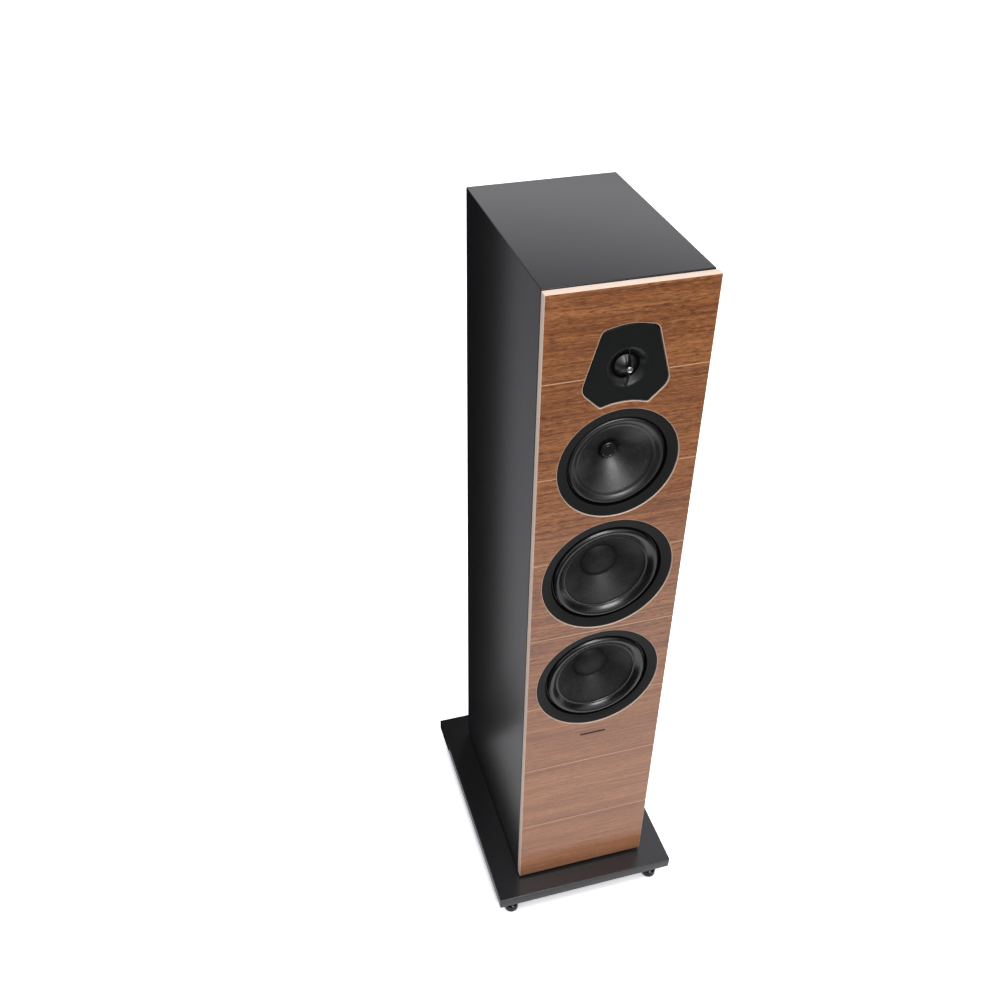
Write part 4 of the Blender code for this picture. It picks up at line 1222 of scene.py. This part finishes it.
def build_cone_driver(name):
    driver = MID if name == "mid" else WOOFER
    place = driver_place(name + "_cone")
    body = name + "_diaphragm"
    build_trim_ring(name, driver, place)
    build_surround(name, driver, place)
    build_cone(name, driver, place, body)
    build_spider(name, driver, place)
    build_coil(name, driver, place, body)
    build_motor(name, driver, place)
    if "cap_radius" in driver:
        build_dust_cap(name, driver, place, body)
    else:
        build_phase_plug(name, driver, place)


# ---- tweeter
PLATE_FACE = -0.0003
PLATE_BACK = -0.0080
BOWL_RADIUS = 0.0250
THROAT_RADIUS = 0.0160


def build_tweeter_plate(place):
    edges = [both_edges(plate_outline, PLATE_FACE, PLATE_BACK, 0.0005)]
    bowl = []
    for share in shares(12):
        radius = BOWL_RADIUS + (THROAT_RADIUS - BOWL_RADIUS) * share
        drop = 0.0072 * (1 - math.cos(share * math.pi / 2)) ** 0.85
        bowl.append((circle(radius), PLATE_FACE - drop))
    bowl.append((circle(THROAT_RADIUS), PLATE_BACK))
    plate = sheet("tweeter_plate", edges + [bowl], place)
    fit(plate, "trim_black", "plate", "tweeter_faceplate")
    paint_faces(plate, "bowl", lambda spot, normal: THROAT_RADIUS + 0.0005 < spot.xy.length < BOWL_RADIUS)
    # painted shade: the throat round the dome goes near black
    paint_faces(plate, "recess_shade", lambda spot, normal: spot.xy.length < THROAT_RADIUS + 0.0005)


def build_dome(place):
    """The silk dome, its half-roll rim and the former behind it, as one thin skin."""
    radius, base, rise, wall = 0.0126, -0.0068, 0.0060, 0.0005
    sweep = 0.90 * math.pi / 2
    edge = math.cos(sweep)
    heights = [(math.cos(sweep * share) - edge) / (1 - edge) for share in shares(14)]
    front = [(radius * share, base + rise * height) for share, height in zip(shares(14), heights)]
    angles = [math.pi * share for share in shares(8)[1:-1]]
    roll = [(0.0138 - 0.0012 * math.cos(angle), base + 0.0005 * math.sin(angle)) for angle in angles]
    rim = [(0.0157, base - 0.0002), (0.0157, base - 0.0008), (0.0134, base - 0.0008)]
    former = [(0.0134, -0.0150), (0.0128, -0.0150), (0.0126, base - 0.0008)]
    back = [(point[0] * 0.96, point[1] - wall) for point in reversed(front[:-1])]
    dome = lathe("tweeter_silk_dome", front + roll + rim + former + back, place, closed=False)
    fit(dome, "dome_fabric", "dome", "tweeter_dome", body="tweeter_diaphragm")
    # painted shade: the dome's rim roll and former go near black, the dark ring round the dome
    paint_faces(dome, "recess_shade", lambda spot, normal: spot.xy.length > radius)


def build_bridge(place):
    """The slim arched bar over the dome, tapering into the bowl, and its round centre button."""
    reach, rise, depth = 0.0243, 0.0050, 0.0022
    verts = []
    for step in shares(28):
        share = 2 * step - 1
        arch = math.cos(share * math.pi / 2)
        width = 0.0007 + 0.0011 * arch
        thick = 0.0006 + 0.0006 * arch
        lift = (rise - depth / 2) * arch**0.8 - 0.0006 * (1 - arch)
        section = rectangle(width, thick, 0.0004, 2)
        verts += [(point.x, share * reach, lift + point.y) for point in section]
    bar = skin("tweeter_bridge_bar", verts, len(section), place)
    fit(bar, "gloss_black", "bridge", "tweeter_bridge")

    face = [(0.0, 0.0064), (0.0010, 0.0063, 0.0008), (0.0026, 0.0057, 0.0004), (0.0030, 0.0063, 0.0002)]
    side = [(0.0035, 0.0060, 0.0004), (0.0035, 0.0034, 0.0003), (0.0, 0.0034)]
    cap = lathe("tweeter_button", rounded(face + side, False), place, SMALL_STEPS, closed=False)
    fit(cap, "steel", "chrome")


def build_tweeter():
    place = driver_place("tweeter_dome")
    build_tweeter_plate(place)
    build_dome(place)
    build_bridge(place)


# ---- stand
STUD_RADIUS = 0.0040
THREAD_PITCH = 0.00125
BORE_RADIUS = STUD_RADIUS + 0.0006


def build_plinth():
    half = extent("plinth")[1]
    place = Matrix.Translation((0.0, 0.0, PLINTH_HIGH.z))
    outline = lambda grow: rectangle(half.x + grow, half.y + grow, 0.0020)
    edges = [both_edges(outline, 0.0, -2 * half.z, 0.0009, steps=4)]
    bore_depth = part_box("foot_stud_front_left")[1].z + 0.0002 - PLINTH_LOW.z
    blinds = []
    for place_name in FOOT_PLACES:
        middle = centre("foot_pad_" + place_name)
        bore = moved(circle(BORE_RADIUS, SMALL_STEPS), middle.x, middle.y)
        blinds.append([(bore, -2 * half.z), (bore, -2 * half.z + bore_depth)])
    board = sheet("plinth_board", edges, place, blinds)
    settle(board, place)
    fit(board, "plinth_black", "plinth", "plinth")


def build_foot(place_name):
    middle = centre("foot_pad_" + place_name)
    place = Matrix.Translation((middle.x, middle.y, 0.0))
    shoulder = [(0.0, 0.0140), (0.0080, 0.0140, 0.0010), (0.0105, 0.0122, 0.0018)]
    sole = [(0.0105, 0.0022, 0.0014), (0.0092, 0.0, 0.0006), (0.0, 0.0)]
    pad = lathe("foot_glide_" + place_name, rounded(shoulder + sole, False), place, 96, closed=False)
    fit(pad, "foot_black", "foot", "foot_pad_" + place_name, body=f"foot_pad_{place_name}_body")

    shaft_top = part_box("foot_stud_" + place_name)[1].z

    def shape(angle, radius, height):
        if radius > 0.006 and height < 0.0205:
            return min(radius, hexagon(angle, 0.0085))
        if radius > 0.0035 and height > 0.0206:
            return radius - thread_depth(angle, height, THREAD_PITCH, 0.0006)
        return radius

    thread_top, thread_bottom, rows = shaft_top - 0.0008, 0.0208, 120
    shaft = [(STUD_RADIUS, thread_top - (thread_top - thread_bottom) * share) for share in shares(rows)]
    nut = [(STUD_RADIUS, 0.0203), (0.0072, 0.0203), (0.0085, 0.0197), (0.0085, 0.0149), (0.0072, 0.0143)]
    profile = [(0.0, shaft_top), (STUD_RADIUS - 0.0006, shaft_top), *shaft, *nut, (0.0, 0.0143)]
    stud = lathe("foot_bolt_" + place_name, profile, place, 96, closed=False, shape=shape)
    fit(stud, "steel", "steel", "foot_stud_" + place_name, body=f"foot_stud_{place_name}_body")


# ---- stage
CAMERA_AT = Vector((-0.4419, -1.1208, 1.5519))
VIEW_DIRECTION = Vector((0.2193, 0.7680, -0.6018))
LENS = 39.69
SENSOR = 36.0
SHIFT = (0.0202, 0.0029)
ROLL = 0.0046

FLOOR_SEEN = 2.00
FLOOR_BOUNCE = 0.80
FLOOR_PALE_Y = -0.85
FLOOR_DARK_Y = -1.10
SKY_LOW = 0.58
SKY_HIGH = 0.75
SKY_SEEN = 1.02  # the sky's strength as the camera sees it
SKY_COLOUR = (1.0, 0.99, 1.04, 1.0)
# each softbox's place, the point it faces, its size and its radiance
SOFTBOXES = {
    "overhead_softbox": ((-0.15, -0.85, 2.7), (0.0, -0.1, 0.4), (1.2, 0.9), 7.0),
    "front_softbox": ((0.22, -1.98, 2.02), (0.0, -0.1, 0.7), (1.20, 0.6), 7.0),
    "rear_softbox": ((0.90, 2.60, 2.20), (0.0, 0.0, 1.0), (3.2, 1.4), 0.68),
}


def standing(first, second, low, high):
    """A flag that stands between two points of the floor plan."""
    return [(*first, low), (*second, low), (*second, high), (*first, high)]


def lying(left, right, front, back):
    """A flag that lies on the floor."""
    lift = 0.004
    return [(left, front, lift), (right, front, lift), (right, back, lift), (left, back, lift)]


FLAGS = {
    "rear_flag": standing((-0.214, 0.211), (0.030, 0.400), 0.00, 1.05),
    "right_flag": standing((0.560, -0.900), (0.900, -0.420), 0.25, 1.10),
    "side_flag": standing((-0.120, -0.720), (-0.400, -0.180), 0.00, 0.52),
    "front_flag": standing((-0.600, -0.700), (-0.050, -0.950), 0.50, 0.98),
    "rear_floor_flag": lying(-0.260, 0.050, 0.160, 0.420),
    "right_floor_flag": lying(0.400, 1.100, -0.550, -0.050),
}


def build_camera():
    data = bpy.data.cameras.new("studio_camera")
    data.lens = LENS
    data.sensor_width = SENSOR
    data.shift_x, data.shift_y = SHIFT
    camera = link("studio_camera", data)
    aim = VIEW_DIRECTION.to_track_quat("-Z", "Y").to_matrix().to_4x4()
    camera.matrix_world = Matrix.Translation(CAMERA_AT) @ aim @ Matrix.Rotation(ROLL, 4, "Z")
    bpy.context.scene.camera = camera


def stage_sheet(name, corners, material):
    """A flat sheet that isn't part of the speaker."""
    mesh = bpy.data.meshes.new(name)
    mesh.from_pydata(corners, [], [(0, 1, 2, 3)])
    mesh.materials.append(material)
    made = link(name, mesh)
    return made


def build_floor():
    """A pale floor, brighter to the camera than to the speaker.

    Its far front bounces little light, so the top of the baffle stays rich and its foot takes a sheen.
    """
    f = Finish("studio_floor_paint")
    _, y, _ = f.split()
    cloud = f.noise(3.0, 3.0, 0.5)
    near = f.node("MapRange", {"Value": y, "From Min": FLOOR_DARK_Y, "From Max": FLOOR_PALE_Y}).outputs[0]
    bounce = f.math("MULTIPLY_ADD", near, FLOOR_BOUNCE - 0.10, 0.10)
    seen = f.math("MULTIPLY_ADD", cloud, 0.04, FLOOR_SEEN)
    camera_ray = f.camera_ray()
    unseen = f.math("SUBTRACT", 1.0, camera_ray)
    shade = f.math("ADD", f.times(camera_ray, seen), f.times(unseen, bounce))
    diffuse = f.node("BsdfDiffuse", {"Color": shade})
    f.feed(f.tree.nodes["Material Output"].inputs["Surface"], diffuse.outputs[0])
    half = 14.0
    square = [(-half, -half, 0), (half, -half, 0), (half, half, 0), (-half, half, 0)]
    stage_sheet("studio_floor", square, f.material)


def build_world():
    """A soft sky, brighter overhead, that the camera sees as plain white."""
    world = bpy.data.worlds.new("studio_sky")
    bpy.context.scene.world = world
    sky = NodeMaker(world)
    direction = sky.node("TexCoord").outputs["Generated"]
    height = sky.node("SeparateXYZ", {0: direction}).outputs[2]
    strength = sky.node("MapRange", {"Value": height, "To Min": SKY_LOW, "To Max": SKY_HIGH}).outputs[0]
    seen = sky.node("Mix", {0: sky.camera_ray(), 2: strength, 3: SKY_SEEN}).outputs[0]
    background = sky.tree.nodes["Background"]
    sky.feed(background.inputs["Strength"], seen)
    sky.feed(background.inputs["Color"], SKY_COLOUR)
    bpy.context.scene.view_settings.view_transform = "Standard"


def build_lights():
    for name, (place, target, size, radiance) in SOFTBOXES.items():
        data = bpy.data.lights.new(name, "AREA")
        data.shape = "RECTANGLE"
        data.size, data.size_y = size
        data.energy = radiance * math.pi * size[0] * size[1]
        lamp = link(name, data)
        lamp.location = place
        lamp.rotation_euler = (Vector(target) - Vector(place)).to_track_quat("-Z", "Y").to_euler()


def build_flags():
    """Black flags that only reflections see, to keep parts of the cabinet and the drivers dark."""
    f = Finish("flag_felt")
    f.colour = f.mix(f.noise(40.0), (0.004, 0.004, 0.004), (0.010, 0.010, 0.010))
    f.set(roughness=1.0, specular=0.0)
    for name, corners in FLAGS.items():
        flag = stage_sheet(name, corners, f.material)
        flag.visible_camera = False
        flag.visible_diffuse = False
        flag.visible_shadow = False


# ---- assembly
def main():
    for node, finish in KEPT_NODES.items():
        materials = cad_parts[node].data.materials
        materials.clear()
        materials.append(MATERIALS[finish])
    openings = build_baffle()
    build_inlays(openings)
    build_badge()
    build_cabinet()
    build_damping_mat()
    build_port()
    build_terminals()
    for name in CONE_DRIVERS:
        build_cone_driver(name)
    build_tweeter()
    build_plinth()
    for place_name in FOOT_PLACES:
        build_foot(place_name)
    build_camera()
    build_floor()
    build_world()
    build_lights()
    build_flags()


def corners(bounds):
    return [[float(value) for value in corner] for corner in bounds]


main()
